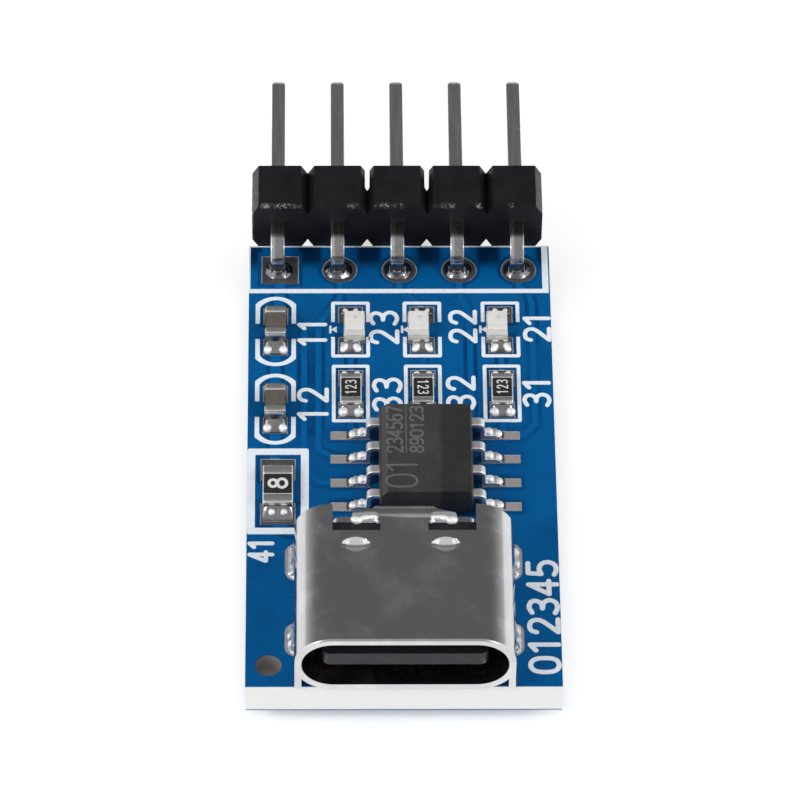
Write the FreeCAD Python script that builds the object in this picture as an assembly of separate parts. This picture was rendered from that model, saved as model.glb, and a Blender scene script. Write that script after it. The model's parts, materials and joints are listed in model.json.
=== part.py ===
import FreeCAD, Part
import math
import os

# Serial adapter module: a small circuit board with a reversible data socket at the front,
# a five pin right-angle header at the back, and a serial chip with its small parts between them.
# Millimetres, +X to the right seen from the socket, +Y towards the header, +Z up.
# The origin is under the middle of the whole module, level with the tails of the header pins.

# Circuit board
board_width = 12.8
board_length = 23.6
core_thick = 1.48
copper_thick = 0.035
mask_thick = 0.06
mask_margin = 0.05           # bare rim between a pad and the mask
barrel_wall = 0.04           # plating inside a hole
long_pad_round = 0.45        # share of a long pad's width that rounds its corners
trace_width = 0.25
power_trace_width = 0.45
trace_bend = 0.3
into_pad = 0.3               # how far a track starts inside the pad it leaves
header_run = 2.45            # from the back edge to where the tracks of the header turn
cap_lane_from_left = 2.35
left_lane_from_left = 2.95
edge_lane_from_right = 0.8
right_lane = 2.95            # X of the long track right of the middle column
supply_lane = -2.4           # X of the supply track at the socket
supply_turn = 15.65          # from the back edge to where the supply track turns towards it
tooling_hole_dia = 1.08
tooling_hole_from_left = 0.93
tooling_hole_from_front = 1.06

# Printed legend
ink_thick = 0.02
legend_line = 0.16
legend_round = 0.1
header_box_front = 2.66      # from the back edge to the outside of the front line
header_box_line = 0.225
header_box_side_line = 0.265
header_box_edge_gap = 0.055
header_box_sliver = 0.06     # what the trimmed board edge leaves of the other two lines
cap_box_width = 1.71
cap_box_length = 3.86
cap_box_bow = 0.42
cap_box_line = 0.19
cap_box_gap = 0.86
led_box_width = 1.64
led_box_length = 3.1
led_box_gap = 0.84
resistor_box_width = 1.59
resistor_box_length = 3.14
fuse_box_width = 2.55
fuse_box_length = 4.55
fuse_box_line = 0.33

# Pin header
pin_count = 5
pin_pitch = 2.54
pin_side = 0.6
pin_axis_height = 1.27       # above the board
pin_free_length = 5.85       # behind the housing
pin_tail = 1.0               # below the board
pin_bend = 0.62              # radius of the pin's centreline
pin_point_length = 0.2
pin_point_side = 0.4
row_setback = 1.33           # from the back edge to the row of holes
first_hole_from_left = 1.32
header_shift = -0.09         # the header sits a little to the left in its holes
header_hole_dia = 1.08
header_pad_dia = 1.42
first_pad_side = 1.5
housing_depth = 2.35
housing_height = 2.58
housing_drop = 0.09          # below the top of the board
housing_gap = 0.05           # behind the back edge
housing_end = 1.1            # from the last pin to the end of the housing
notch_half_width = 0.28
notch_depth = 0.5
rear_slot_width = 0.2
rear_slot_depth = 1.0
rear_slot_round = 0.09
pin_solder_top = 0.34
pin_solder_below = 0.62
pin_solder_spread = 0.58
pin_solder_neck = 0.36

# Data socket
socket_shift = 0.04          # from the board's middle line
mouth_overhang = 0.15        # how far the mouth stands in front of the board
socket_width = 8.94
socket_height = 3.175
socket_depth = 7.02
socket_wall = 0.3
mouth_round = 0.1
window_front = 5.65          # from the mouth
window_half_width = 2.91
neck_half_width = 0.97
neck_round = 0.2
wing_half_width = 2.13
wing_front = 6.22
wing_length = 0.33
wing_round = 0.15
tab_half_width = 1.2
tab_round = 0.3
rear_plate_back = 7.2        # from the mouth to its outer face
rear_plate_bend = 0.4
rear_plate_half_width = 2.9
rear_plate_bottom = 0.55     # above the board
rear_plate_top = 2.1
rear_plate_low_round = 0.2
rear_plate_high_round = 0.35
tail_room_side = 0.78        # from the outside of the shell to the room cut for the contact feet
tail_room_height = 0.5
tail_room_front = 5.3        # from the mouth
dimple_from_mouth = 4.93
dimple_spacing = 3.63
dimple_length = 1.2
dimple_width = 0.72
dimple_depth = 0.15
dimple_shift = -0.15         # of the pair, from the socket's middle
leg_width = 0.95
leg_length = 1.4
leg_point = 0.25
front_leg_from_mouth = 2.53
rear_leg_from_mouth = 6.53
leg_slot_width = 0.6
leg_slot_length = 1.2
leg_pad_width = 0.98
front_leg_pad_length = 1.65
rear_leg_pad_length = 1.88
leg_solder_height = 0.42
leg_solder_end_gap = 0.2     # from the end of the pad to the solder on the shell
leg_solder_below = 0.1       # below the lower pads
tongue_side_gap = 0.825      # from the inside of the shell
tongue_thick = 0.7
tongue_recess = 0.3          # behind the mouth
tongue_round = 0.35
root_side_gap = 0.37         # from the inside of the shell
root_thick = 1.14
root_length = 1.3
base_front = 5.15            # from the mouth to the front of the moulded base
base_back = 6.3
peg_dia = 0.55
peg_spacing = 5.78
peg_from_mouth = 5.87
peg_length = 1.2
peg_clearance = 0.06
mid_plate_side_gap = 0.195   # inside the edge of the tongue
mid_plate_thick = 0.1
mid_plate_recess = 0.9       # behind the mouth
mid_plate_end = 0.2          # ahead of the base's back face
mid_plate_round = 0.2
contact_width = 0.25
contact_thick = 0.12
contact_recess = 1.25        # behind the mouth
contact_step = 0.26          # between neighbouring side steps inside the base
contact_step_width = 0.18
contact_first_step = 0.12    # from the base's front face to the first side step
contact_bend = 0.09
tail_end = 7.55              # from the mouth
tail_solder_length = 0.5     # under each contact foot
tail_pad_front = 6.57
tail_pad_back = 7.87
tail_pad_side = 0.025        # beyond the tail, each side
tongue_places = (2.75, 1.25, 0.75, 0.25)      # contacts from the middle line, outermost first
upper_tail_places = (3.35, 2.55, 1.25, 0.25)
lower_tail_places = (3.05, 2.25, 1.75, 0.75)

# Serial chip
chip_x = 1.0
chip_from_back = 12.4
chip_width = 3.9
chip_length = 4.9
chip_height = 1.36
chip_standoff = 0.14
chip_draft = 0.1
chip_edge_cut = 0.26
chip_round = 0.12
lead_count = 4               # on each side
lead_pitch = 1.27
lead_width = 0.42
lead_thick = 0.2
lead_span = 6.0
lead_shoulder = 0.42         # from the body to the middle of the first bend
lead_foot = 0.62
lead_bend = 0.18
lead_inside = 0.55
lead_solder_reach = 0.32     # past the foot
lead_solder_length = 0.47    # under the foot
lead_solder_climb = 0.17
chip_pad_reach = 3.895       # from the chip's middle line to the end of its pads
chip_pad_inner = 2.36
chip_pad_width = 0.4
die_pad_width = 1.9
die_pad_length = 3.0
die_pad_thick = 0.15
die_width = 1.3
die_length = 1.9
die_thick = 0.25
bond_wire_dia = 0.06
bond_wire_rise = 0.2
bond_from_die_edge = 0.1
bond_from_lead_end = 0.15
bond_fan = 0.42              # spread of the wires along the die, as a share of the leads' spread

# Small parts, which all lie front to back
solder_gap = 0.03            # solder under a terminal
small_part_length = 1.6
small_part_width = 0.9
plating_thick = 0.03
small_pad_width = 0.96
small_pad_inner = 0.42       # from the part's centre
small_pad_outer = 1.28
column_places = (4.25, 0.94, -2.09)
led_row_from_back = 4.7
resistor_row_from_back = 8.23
led_shifts = (-0.15, -0.16, 0.16)
led_base_thick = 0.22
led_lens_length = 1.1
led_lens_height = 0.4
led_lens_draft = 0.04
led_lens_round = 0.05
led_land_length = 0.24
led_die_side = 0.28
led_die_height = 0.12
resistor_thick = 0.36
resistor_cap_length = 0.3
overcoat_thick = 0.04
overcoat_side_gap = 0.05
cap_from_left = 1.15
cap_rows_from_back = (4.8, 9.08)
cap_height = 0.8
cap_end_length = 0.43
cap_round = 0.05
fuse_from_left = 1.28
fuse_from_back = 13.5
fuse_length = 2.0
fuse_width = 1.25
fuse_thick = 0.46
fuse_cap_length = 0.5
fuse_pad_width = 1.36
fuse_pad_inner = 0.62
fuse_pad_outer = 1.72
part_solder_share = 0.62     # of a terminal's height that the solder climbs
solder_lip = 0.02            # thickness of the solder at its outer edge
solder_hollow = 0.12         # how deep the fillets curve in, as a share of their slope

# Places that follow from the sizes
tip_reach = housing_gap + housing_depth + pin_free_length
mouth_y = -(mouth_overhang + board_length + tip_reach) / 2
front_y = mouth_y + mouth_overhang
back_y = front_y + board_length
left_x = -board_width / 2
right_x = board_width / 2
cap_x = left_x + cap_from_left
fuse_x = left_x + fuse_from_left
under_z = pin_tail
core_bottom_z = under_z + mask_thick
core_top_z = core_bottom_z + core_thick
top_z = core_top_z + mask_thick
pad_top_z = core_top_z + copper_thick
pad_bottom_z = core_bottom_z - copper_thick
row_y = back_y - row_setback
past = 1.0                   # how far a cutting shape runs past what it cuts
through = 1.1                # how deep a cut through a wall goes, in walls

nodes = {}


def box(x0, x1, y0, y1, z0, z1):
    return Part.makeBox(x1 - x0, y1 - y0, z1 - z0, FreeCAD.Vector(x0, y0, z0))


def rod(x, y, z0, z1, diameter):
    return Part.makeCylinder(diameter / 2, z1 - z0, FreeCAD.Vector(x, y, z0))


def rectangle(x0, x1, y0, y1):
    return [(x0, y0), (x1, y0), (x1, y1), (x0, y1)]


def direction(start, end):
    length = math.hypot(end[0] - start[0], end[1] - start[1])
    return ((end[0] - start[0]) / length, (end[1] - start[1]) / length)


def corner(before, here, after, radius):
    # Where a rounded corner starts, its middle, and where it ends.
    if radius <= 0:
        return here, None, here
    arriving = direction(before, here)
    leaving = direction(here, after)
    turn = math.acos(max(-1.0, min(1.0, arriving[0] * leaving[0] + arriving[1] * leaving[1])))
    back_off = radius * math.tan(turn / 2)
    inward = direction((arriving[0], arriving[1]), (leaving[0], leaving[1]))
    rise = radius / math.cos(turn / 2) - radius
    start = (here[0] - arriving[0] * back_off, here[1] - arriving[1] * back_off)
    middle = (here[0] + inward[0] * rise, here[1] + inward[1] * rise)
    end = (here[0] + leaving[0] * back_off, here[1] + leaving[1] * back_off)
    return start, middle, end


def rounded_wire(points, radii, place):
    # A closed wire with its corners rounded; place turns flat coordinates into a point in space.
    count = len(points)
    corners = []
    for i in range(count):
        corners.append(corner(points[i - 1], points[i], points[(i + 1) % count], radii[i]))
    edges = []
    for i in range(count):
        start, middle, end = corners[i]
        following = corners[(i + 1) % count][0]
        if middle is not None:
            edges.append(Part.Arc(place(*start), place(*middle), place(*end)).toShape())
        if math.hypot(following[0] - end[0], following[1] - end[1]) > 1e-6:
            edges.append(Part.LineSegment(place(*end), place(*following)).toShape())
    return Part.Wire(edges)


def slab(points, radii, z0, z1):
    # A shape drawn in plan and raised from z0 to z1.
    wire = rounded_wire(points, radii, lambda u, v: FreeCAD.Vector(u, v, z0))
    return Part.Face(wire).extrude(FreeCAD.Vector(0, 0, z1 - z0))


def side_slab(points, radii, x0, x1):
    # A shape drawn as (y, z) and pulled from x0 to x1.
    wire = rounded_wire(points, radii, lambda u, v: FreeCAD.Vector(x0, u, v))
    return Part.Face(wire).extrude(FreeCAD.Vector(x1 - x0, 0, 0))


def front_slab(points, radii, y0, y1):
    # A shape drawn as (x, z) and pulled from y0 to y1.
    wire = rounded_wire(points, radii, lambda u, v: FreeCAD.Vector(u, y0, v))
    return Part.Face(wire).extrude(FreeCAD.Vector(0, y1 - y0, 0))


def rounded_box(x0, x1, y0, y1, z0, z1, radius):
    return slab(rectangle(x0, x1, y0, y1), [radius] * 4, z0, z1)


def strip_side(path, shift, bend):
    # One side of a bent strip: the path moved sideways, with a round at each bend.
    points = []
    radii = []
    for i, (u, v) in enumerate(path):
        before = direction(path[max(i - 1, 0)], path[max(i, 1)])
        after = direction(path[min(i, len(path) - 2)], path[min(i + 1, len(path) - 1)])
        share = shift / (1 + before[0] * after[0] + before[1] * after[1])
        points.append((u - (before[1] + after[1]) * share, v + (before[0] + after[0]) * share))
        turn = before[0] * after[1] - before[1] * after[0]
        radii.append(0 if abs(turn) < 1e-9 else bend - shift * math.copysign(1, turn))
    return points, radii


def strip(path, thick, bend):
    # The closed outline of a strip of even thickness that follows the path.
    left, left_radii = strip_side(path, thick / 2, bend)
    right, right_radii = strip_side(path, -thick / 2, bend)
    return left + right[::-1], left_radii + right_radii[::-1]


def joined(shapes):
    whole = shapes[0]
    if len(shapes) > 1:
        whole = whole.multiFuse(shapes[1:])
    return whole.removeSplitter()


def save(name, shape):
    nodes[name] = shape
    shape.exportStep("parts/" + name + ".step")


def small_pads(x, y, inner, outer, width):
    half = width / 2
    return [(x - half, x + half, y + inner, y + outer), (x - half, x + half, y - outer, y - inner)]


def header_places():
    return [left_x + first_hole_from_left + i * pin_pitch for i in range(pin_count)]


def leg_places():
    # Each leg's side, distance of its middle from the mouth, and the length of its pad.
    places = []
    for side in (-1, 1):
        places.append((side, mouth_y + front_leg_from_mouth, front_leg_pad_length))
        places.append((side, mouth_y + rear_leg_from_mouth, rear_leg_pad_length))
    return places


def leg_x(side):
    return socket_shift + side * (socket_width - socket_wall) / 2


def contact_rows():
    # Tongue place and tail place of each contact, for the upper and the lower row.
    upper = []
    lower = []
    for side in (-1, 1):
        for i, place in enumerate(tongue_places):
            upper.append((i, socket_shift + side * place, socket_shift + side * upper_tail_places[i]))
            lower.append((i, socket_shift + side * place, socket_shift + side * lower_tail_places[i]))
    return upper, lower


def tail_pad_areas():
    # Neighbouring tails closer than a tail's width share one pad.
    upper, lower = contact_rows()
    half = contact_width / 2 + tail_pad_side
    spans = sorted((tail - half, tail + half) for _, _, tail in upper + lower)
    merged = [list(spans[0])]
    for low, high in spans[1:]:
        if low <= merged[-1][1] + contact_width / 2:
            merged[-1][1] = high
        else:
            merged.append([low, high])
    return [(low, high, mouth_y + tail_pad_front, mouth_y + tail_pad_back) for low, high in merged]


def chip_lead_places():
    # Side and Y of each lead of the chip.
    first = back_y - chip_from_back - (lead_count - 1) * lead_pitch / 2
    places = []
    for side in (-1, 1):
        for i in range(lead_count):
            places.append((side, first + i * lead_pitch))
    return places


def surface_pad_areas():
    areas = []
    led_y = back_y - led_row_from_back
    resistor_y = back_y - resistor_row_from_back
    for x in column_places:
        areas += small_pads(x, led_y, small_pad_inner, small_pad_outer, small_pad_width)
        areas += small_pads(x, resistor_y, small_pad_inner, small_pad_outer, small_pad_width)
    for row in cap_rows_from_back:
        areas += small_pads(cap_x, back_y - row, small_pad_inner, small_pad_outer, small_pad_width)
    areas += small_pads(fuse_x, back_y - fuse_from_back, fuse_pad_inner, fuse_pad_outer, fuse_pad_width)
    for side, y in chip_lead_places():
        ends = sorted((chip_x + side * chip_pad_inner, chip_x + side * chip_pad_reach))
        areas.append((ends[0], ends[1], y - chip_pad_width / 2, y + chip_pad_width / 2))
    return areas + tail_pad_areas()


def slot(x, y, width, length, z0, z1):
    return rounded_box(x - width / 2, x + width / 2, y - length / 2, y + length / 2, z0, z1, width / 2)


def header_pad(index, x, grow, z0, z1):
    if index == 0:
        half = first_pad_side / 2 + grow
        return box(x - half, x + half, row_y - half, row_y + half, z0, z1)
    return rod(x, row_y, z0, z1, header_pad_dia + 2 * grow)


def leg_pad(side, y, length, grow, z0, z1):
    return rounded_box(leg_x(side) - leg_pad_width / 2 - grow, leg_x(side) + leg_pad_width / 2 + grow,
                       y - length / 2 - grow, y + length / 2 + grow, z0, z1,
                       (leg_pad_width + 2 * grow) * long_pad_round)


def peg_places():
    return [(socket_shift + side * peg_spacing / 2, mouth_y + peg_from_mouth) for side in (-1, 1)]


def board_holes(header_hole, slot_grow, z0, z1):
    # Cutting shapes for all holes in the board, with the plated ones at the given size.
    holes = [rod(x, row_y, z0, z1, header_hole) for x in header_places()]
    for side, y, _ in leg_places():
        holes.append(slot(leg_x(side), y, leg_slot_width + slot_grow, leg_slot_length + slot_grow, z0, z1))
    for x, y in peg_places():
        holes.append(rod(x, y, z0, z1, peg_dia + 2 * peg_clearance))
    holes.append(rod(left_x + tooling_hole_from_left, front_y + tooling_hole_from_front, z0, z1,
                     tooling_hole_dia))
    return holes


def build_board_core():
    core = box(left_x, right_x, front_y, back_y, core_bottom_z, core_top_z)
    holes = board_holes(header_hole_dia + 2 * barrel_wall, 2 * barrel_wall,
                        core_bottom_z - past, core_top_z + past)
    return core.cut(Part.makeCompound(holes))


def build_pads():
    # Plated-through pads first, each with its barrel and its lower pad, then the flat pads on top.
    pads = []
    hole_low = pad_bottom_z - past
    hole_high = pad_top_z + past
    for index, x in enumerate(header_places()):
        top = header_pad(index, x, 0, core_top_z, pad_top_z)
        bottom = header_pad(index, x, 0, pad_bottom_z, core_bottom_z)
        barrel = rod(x, row_y, pad_bottom_z, pad_top_z, header_hole_dia + 2 * barrel_wall)
        pads.append(joined([top, bottom, barrel]).cut(rod(x, row_y, hole_low, hole_high, header_hole_dia)))
    for side, y, length in leg_places():
        x = leg_x(side)
        top = leg_pad(side, y, length, 0, core_top_z, pad_top_z)
        bottom = leg_pad(side, y, length, 0, pad_bottom_z, core_bottom_z)
        barrel = slot(x, y, leg_slot_width + 2 * barrel_wall, leg_slot_length + 2 * barrel_wall,
                      pad_bottom_z, pad_top_z)
        hole = slot(x, y, leg_slot_width, leg_slot_length, hole_low, hole_high)
        pads.append(joined([top, bottom, barrel]).cut(hole))
    for x0, x1, y0, y1 in surface_pad_areas():
        pads.append(box(x0, x1, y0, y1, core_top_z, pad_top_z))
    return Part.makeCompound(pads)


def trace_routes():
    # Routes as (x, distance from the back edge); the width comes first.
    chip_rows = [back_y - y for side, y in chip_lead_places() if side > 0]
    left_pad_end = chip_x - chip_pad_reach + into_pad
    right_pad_end = chip_x + chip_pad_reach - into_pad
    left_pad_inner = chip_x - chip_pad_inner - into_pad
    right_pad_inner = chip_x + chip_pad_inner + into_pad
    led_rear = led_row_from_back - small_pad_inner
    led_front = led_row_from_back + small_pad_inner + into_pad
    resistor_rear = resistor_row_from_back - small_pad_inner - into_pad
    resistor_front = resistor_row_from_back + small_pad_inner + into_pad
    caps_rear = [row - small_pad_inner - into_pad for row in cap_rows_from_back]
    caps_front = [row + small_pad_inner + into_pad for row in cap_rows_from_back]
    pins = header_places()
    tail_line = board_length + mouth_overhang - tail_pad_back + into_pad
    cap_lane = left_x + cap_lane_from_left
    left_lane = left_x + left_lane_from_left
    edge_lane = right_x - edge_lane_from_right
    fine = []
    wide = []
    for x in column_places:
        fine.append([(x, led_front), (x, resistor_rear)])
    fine.append([(pins[2], row_setback), (pins[2], header_run), (column_places[1], 3.4),
                 (column_places[1], led_rear)])
    fine.append([(pins[3], row_setback), (pins[3], header_run), (right_lane, 3.3), (right_lane, 9.4),
                 (2.55, 9.9), (2.55, 11.3), (right_pad_inner, chip_rows[2])])
    fine.append([(pins[4], row_setback), (pins[4], header_run), (edge_lane, 3.0), (edge_lane, 9.9),
                 (5.1, chip_rows[3]), (right_pad_end, chip_rows[3])])
    fine.append([(pins[1], row_setback), (pins[1], header_run), (left_lane, 3.6), (left_lane, 11.3),
                 (left_pad_end, chip_rows[2])])
    fine.append([(column_places[0], resistor_front), (column_places[0], chip_rows[3])])
    fine.append([(column_places[2], resistor_front), (column_places[2], chip_rows[3])])
    fine.append([(cap_x + into_pad, caps_rear[0]), (cap_x + 0.65, caps_rear[0]), (cap_lane, 4.5), (cap_lane, 12.3),
                 (cap_lane + 0.65, chip_rows[1]), (left_pad_end, chip_rows[1])])
    fine.append([(socket_shift - 0.75, tail_line), (socket_shift - 0.75, 15.2),
                 (left_pad_inner, chip_rows[0])])
    fine.append([(socket_shift + 0.25, tail_line), (socket_shift + 0.25, 14.2), (-0.45, 13.3),
                 (left_pad_inner, chip_rows[1])])
    wide.append([(pins[0], row_setback), (pins[0], 2.9), (cap_x, caps_rear[0])])
    wide.append([(cap_x, caps_front[0]), (cap_x, caps_rear[1])])
    wide.append([(cap_x, caps_front[1]), (cap_x, fuse_from_back - fuse_pad_inner)])
    wide.append([(fuse_x, fuse_from_back + fuse_pad_inner + into_pad), (fuse_x, supply_turn - 0.35),
                 (fuse_x + 0.42, supply_turn), (supply_lane - 0.6, supply_turn),
                 (supply_lane, supply_turn + 0.25), (supply_lane, tail_line)])
    return [(trace_width, route) for route in fine] + [(power_trace_width, route) for route in wide]


def build_traces(pads):
    shapes = []
    for width, route in trace_routes():
        path = [(x, back_y - distance) for x, distance in route]
        points, radii = strip(path, width, trace_bend)
        shapes.append(slab(points, radii, core_top_z, pad_top_z))
    holes = board_holes(header_hole_dia, 0, core_top_z - past, pad_top_z + past)
    return Part.makeCompound(shapes).cut(pads).cut(Part.makeCompound(holes))


def build_top_mask(traces):
    sheet = box(left_x, right_x, front_y, back_y, core_top_z, top_z)
    low = core_top_z - past
    high = top_z + past
    openings = []
    for index, x in enumerate(header_places()):
        openings.append(header_pad(index, x, mask_margin, low, high))
    for side, y, length in leg_places():
        openings.append(leg_pad(side, y, length, mask_margin, low, high))
    for x0, x1, y0, y1 in surface_pad_areas():
        openings.append(box(x0 - mask_margin, x1 + mask_margin, y0 - mask_margin, y1 + mask_margin,
                            low, high))
    openings += board_holes(header_hole_dia, 0, low, high)
    return sheet.cut(Part.makeCompound(openings)).cut(traces)


def build_bottom_mask():
    sheet = box(left_x, right_x, front_y, back_y, under_z, core_bottom_z)
    low = under_z - past
    high = core_bottom_z + past
    openings = []
    for index, x in enumerate(header_places()):
        openings.append(header_pad(index, x, mask_margin, low, high))
    for side, y, length in leg_places():
        openings.append(leg_pad(side, y, length, mask_margin, low, high))
    openings += board_holes(header_hole_dia, 0, low, high)
    return sheet.cut(Part.makeCompound(openings))


def ink_frame(x, y, width, length, line):
    # A rectangular outline printed around a part.
    low = top_z
    high = top_z + ink_thick
    outer = rounded_box(x - width / 2, x + width / 2, y - length / 2, y + length / 2, low, high, legend_round)
    inner = box(x - width / 2 + line, x + width / 2 - line, y - length / 2 + line, y + length / 2 - line,
                low - past, high + past)
    return outer.cut(inner)


def bowed_slab(x, y, width, length, bow, z0, z1):
    # A slab with straight sides and ends that bow outwards.
    half = width / 2
    top = y + length / 2
    low = y - length / 2
    corners = [(x - half, low + bow), (x - half, top - bow), (x + half, top - bow), (x + half, low + bow)]
    points = [FreeCAD.Vector(u, v, z0) for u, v in corners]
    edges = [Part.LineSegment(points[0], points[1]).toShape(),
             Part.Arc(points[1], FreeCAD.Vector(x, top, z0), points[2]).toShape(),
             Part.LineSegment(points[2], points[3]).toShape(),
             Part.Arc(points[3], FreeCAD.Vector(x, low, z0), points[0]).toShape()]
    return Part.Face(Part.Wire(edges)).extrude(FreeCAD.Vector(0, 0, z1 - z0))


def side_gap(x, y, width, gap):
    return box(x - width / 2 - past, x + width / 2 + past, y - gap / 2, y + gap / 2,
               top_z - past, top_z + ink_thick + past)


def build_legend():
    inks = []
    low = top_z
    high = top_z + ink_thick
    front_line_y = back_y - header_box_front
    box_right = right_x - header_box_edge_gap
    inks.append(joined([
        box(left_x, box_right, front_line_y, front_line_y + header_box_line, low, high),
        box(box_right - header_box_side_line, box_right, front_line_y, back_y, low, high),
        box(left_x, left_x + header_box_sliver, front_line_y, back_y, low, high),
        box(left_x, box_right, back_y - header_box_sliver, back_y, low, high)]))
    led_y = back_y - led_row_from_back
    resistor_y = back_y - resistor_row_from_back
    for x in column_places:
        frame = ink_frame(x, led_y, led_box_width, led_box_length, legend_line)
        inks.append(frame.cut(side_gap(x, led_y, led_box_width, led_box_gap)))
        inks.append(ink_frame(x, resistor_y, resistor_box_width, resistor_box_length, legend_line))
    for row in cap_rows_from_back:
        y = back_y - row
        outer = bowed_slab(cap_x, y, cap_box_width, cap_box_length, cap_box_bow, low, high)
        inner = bowed_slab(cap_x, y, cap_box_width - 2 * cap_box_line, cap_box_length - 2 * cap_box_line,
                           cap_box_bow, low - past, high + past)
        inks.append(outer.cut(inner).cut(side_gap(cap_x, y, cap_box_width, cap_box_gap)))
    inks.append(ink_frame(fuse_x, back_y - fuse_from_back, fuse_box_width, fuse_box_length, fuse_box_line))
    return Part.makeCompound(inks)


def pin_axis_x(place):
    return place + header_shift


def build_pin(place):
    # A square wire, bent down at the front, with a short point at each end.
    x = pin_axis_x(place)
    axis_z = top_z + pin_axis_height
    tip_y = back_y + tip_reach
    path = [(tip_y, axis_z), (row_y, axis_z), (row_y, under_z - pin_tail)]
    points, radii = strip(path, pin_side, pin_bend)
    pin = side_slab(points, radii, x - pin_side / 2, x + pin_side / 2)
    tip = pin_point(FreeCAD.Vector(x, tip_y, axis_z), FreeCAD.Vector(0, 1, 0), FreeCAD.Vector(0, 0, 1))
    tail = pin_point(FreeCAD.Vector(x, row_y, under_z - pin_tail), FreeCAD.Vector(0, 0, -1),
                     FreeCAD.Vector(0, 1, 0))
    return pin.cut(tip).cut(tail)


def pin_point(end, along, across):
    # What is cut away around the end of a pin to point it.
    other = along.cross(across)
    sections = []
    for step, side in ((-pin_point_length, pin_side), (0, pin_point_side)):
        centre = end + along * step
        corners = []
        for a, b in ((-1, -1), (1, -1), (1, 1), (-1, 1)):
            corners.append(centre + across * (a * side / 2) + other * (b * side / 2))
        sections.append(Part.makePolygon(corners + corners[:1]))
    core = Part.makeLoft(sections, True, True)
    block = Part.makeBox(2 * pin_side, 2 * pin_side, pin_point_length)
    turn = FreeCAD.Rotation(across, other, along, "ZXY")
    block.translate(FreeCAD.Vector(-pin_side, -pin_side, -pin_point_length))
    block.Placement = FreeCAD.Placement(end, turn).multiply(block.Placement)
    return block.cut(core)


def build_housing():
    # A row of eight-sided blocks, notched above and below between the pins; the two notches beside
    # the middle pin go on as slots in the rear.
    places = [pin_axis_x(place) for place in header_places()]
    y0 = back_y + housing_gap
    y1 = y0 + housing_depth
    z0 = top_z - housing_drop
    z1 = z0 + housing_height
    x0 = places[0] - housing_end
    x1 = places[-1] + housing_end
    cut_u = notch_half_width
    cut_v = notch_depth
    outline = [(x0, z0 + cut_v), (x0 + cut_u, z0)]
    middles = [(left + right) / 2 for left, right in zip(places, places[1:])]
    for middle in middles:
        outline += [(middle - cut_u, z0), (middle, z0 + cut_v), (middle + cut_u, z0)]
    outline += [(x1 - cut_u, z0), (x1, z0 + cut_v), (x1, z1 - cut_v), (x1 - cut_u, z1)]
    for middle in reversed(middles):
        outline += [(middle + cut_u, z1), (middle, z1 - cut_v), (middle - cut_u, z1)]
    outline += [(x0 + cut_u, z1), (x0, z1 - cut_v)]
    housing = front_slab(outline, [0] * len(outline), y0, y1)
    cuts = []
    middle_pin = pin_count // 2
    for gap in (middle_pin - 1, middle_pin):
        cuts.append(rounded_box(middles[gap] - rear_slot_width / 2, middles[gap] + rear_slot_width / 2,
                                y1 - rear_slot_depth, y1 + past, z0 - past, z1 + past,
                                rear_slot_round))
    for x in places:
        axis_z = top_z + pin_axis_height
        cuts.append(box(x - pin_side / 2, x + pin_side / 2, y0 - past, y1 + past,
                        axis_z - pin_side / 2, axis_z + pin_side / 2))
    return housing.cut(Part.makeCompound(cuts))


def fillet_ring(x, y, base_z, tip_z, spread, neck):
    # Solder that climbs a pin from its pad in a hollow curve.
    rise = tip_z - base_z
    middle_r = (spread + neck) / 2 - solder_hollow * (spread - neck)
    middle_z = base_z + rise * (0.5 - solder_hollow)
    corners = [FreeCAD.Vector(x, y, base_z), FreeCAD.Vector(x + spread, y, base_z),
               FreeCAD.Vector(x + neck, y, tip_z), FreeCAD.Vector(x, y, tip_z)]
    edges = [Part.LineSegment(corners[0], corners[1]).toShape(),
             Part.Arc(corners[1], FreeCAD.Vector(x + middle_r, y, middle_z), corners[2]).toShape(),
             Part.LineSegment(corners[2], corners[3]).toShape(),
             Part.LineSegment(corners[3], corners[0]).toShape()]
    return Part.Face(Part.Wire(edges)).revolve(FreeCAD.Vector(x, y, 0), FreeCAD.Vector(0, 0, 1), 360)


def build_header_solder(pins):
    joints = []
    for place, pin in zip(header_places(), pins):
        x = pin_axis_x(place)
        fill = rod(place, row_y, pad_bottom_z, pad_top_z, header_hole_dia)
        above = fillet_ring(x, row_y, pad_top_z, pad_top_z + pin_solder_top, pin_solder_spread,
                            pin_solder_neck)
        below = fillet_ring(x, row_y, pad_bottom_z, pad_bottom_z - pin_solder_below, pin_solder_spread,
                            pin_solder_neck)
        joints.append(joined([fill, above, below]).cut(pin))
    return Part.makeCompound(joints)


def stadium(half_width, z0, z1, y0, y1):
    radius = (z1 - z0) / 2
    return front_slab(rectangle(socket_shift - half_width, socket_shift + half_width, z0, z1),
                      [radius] * 4, y0, y1)


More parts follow.
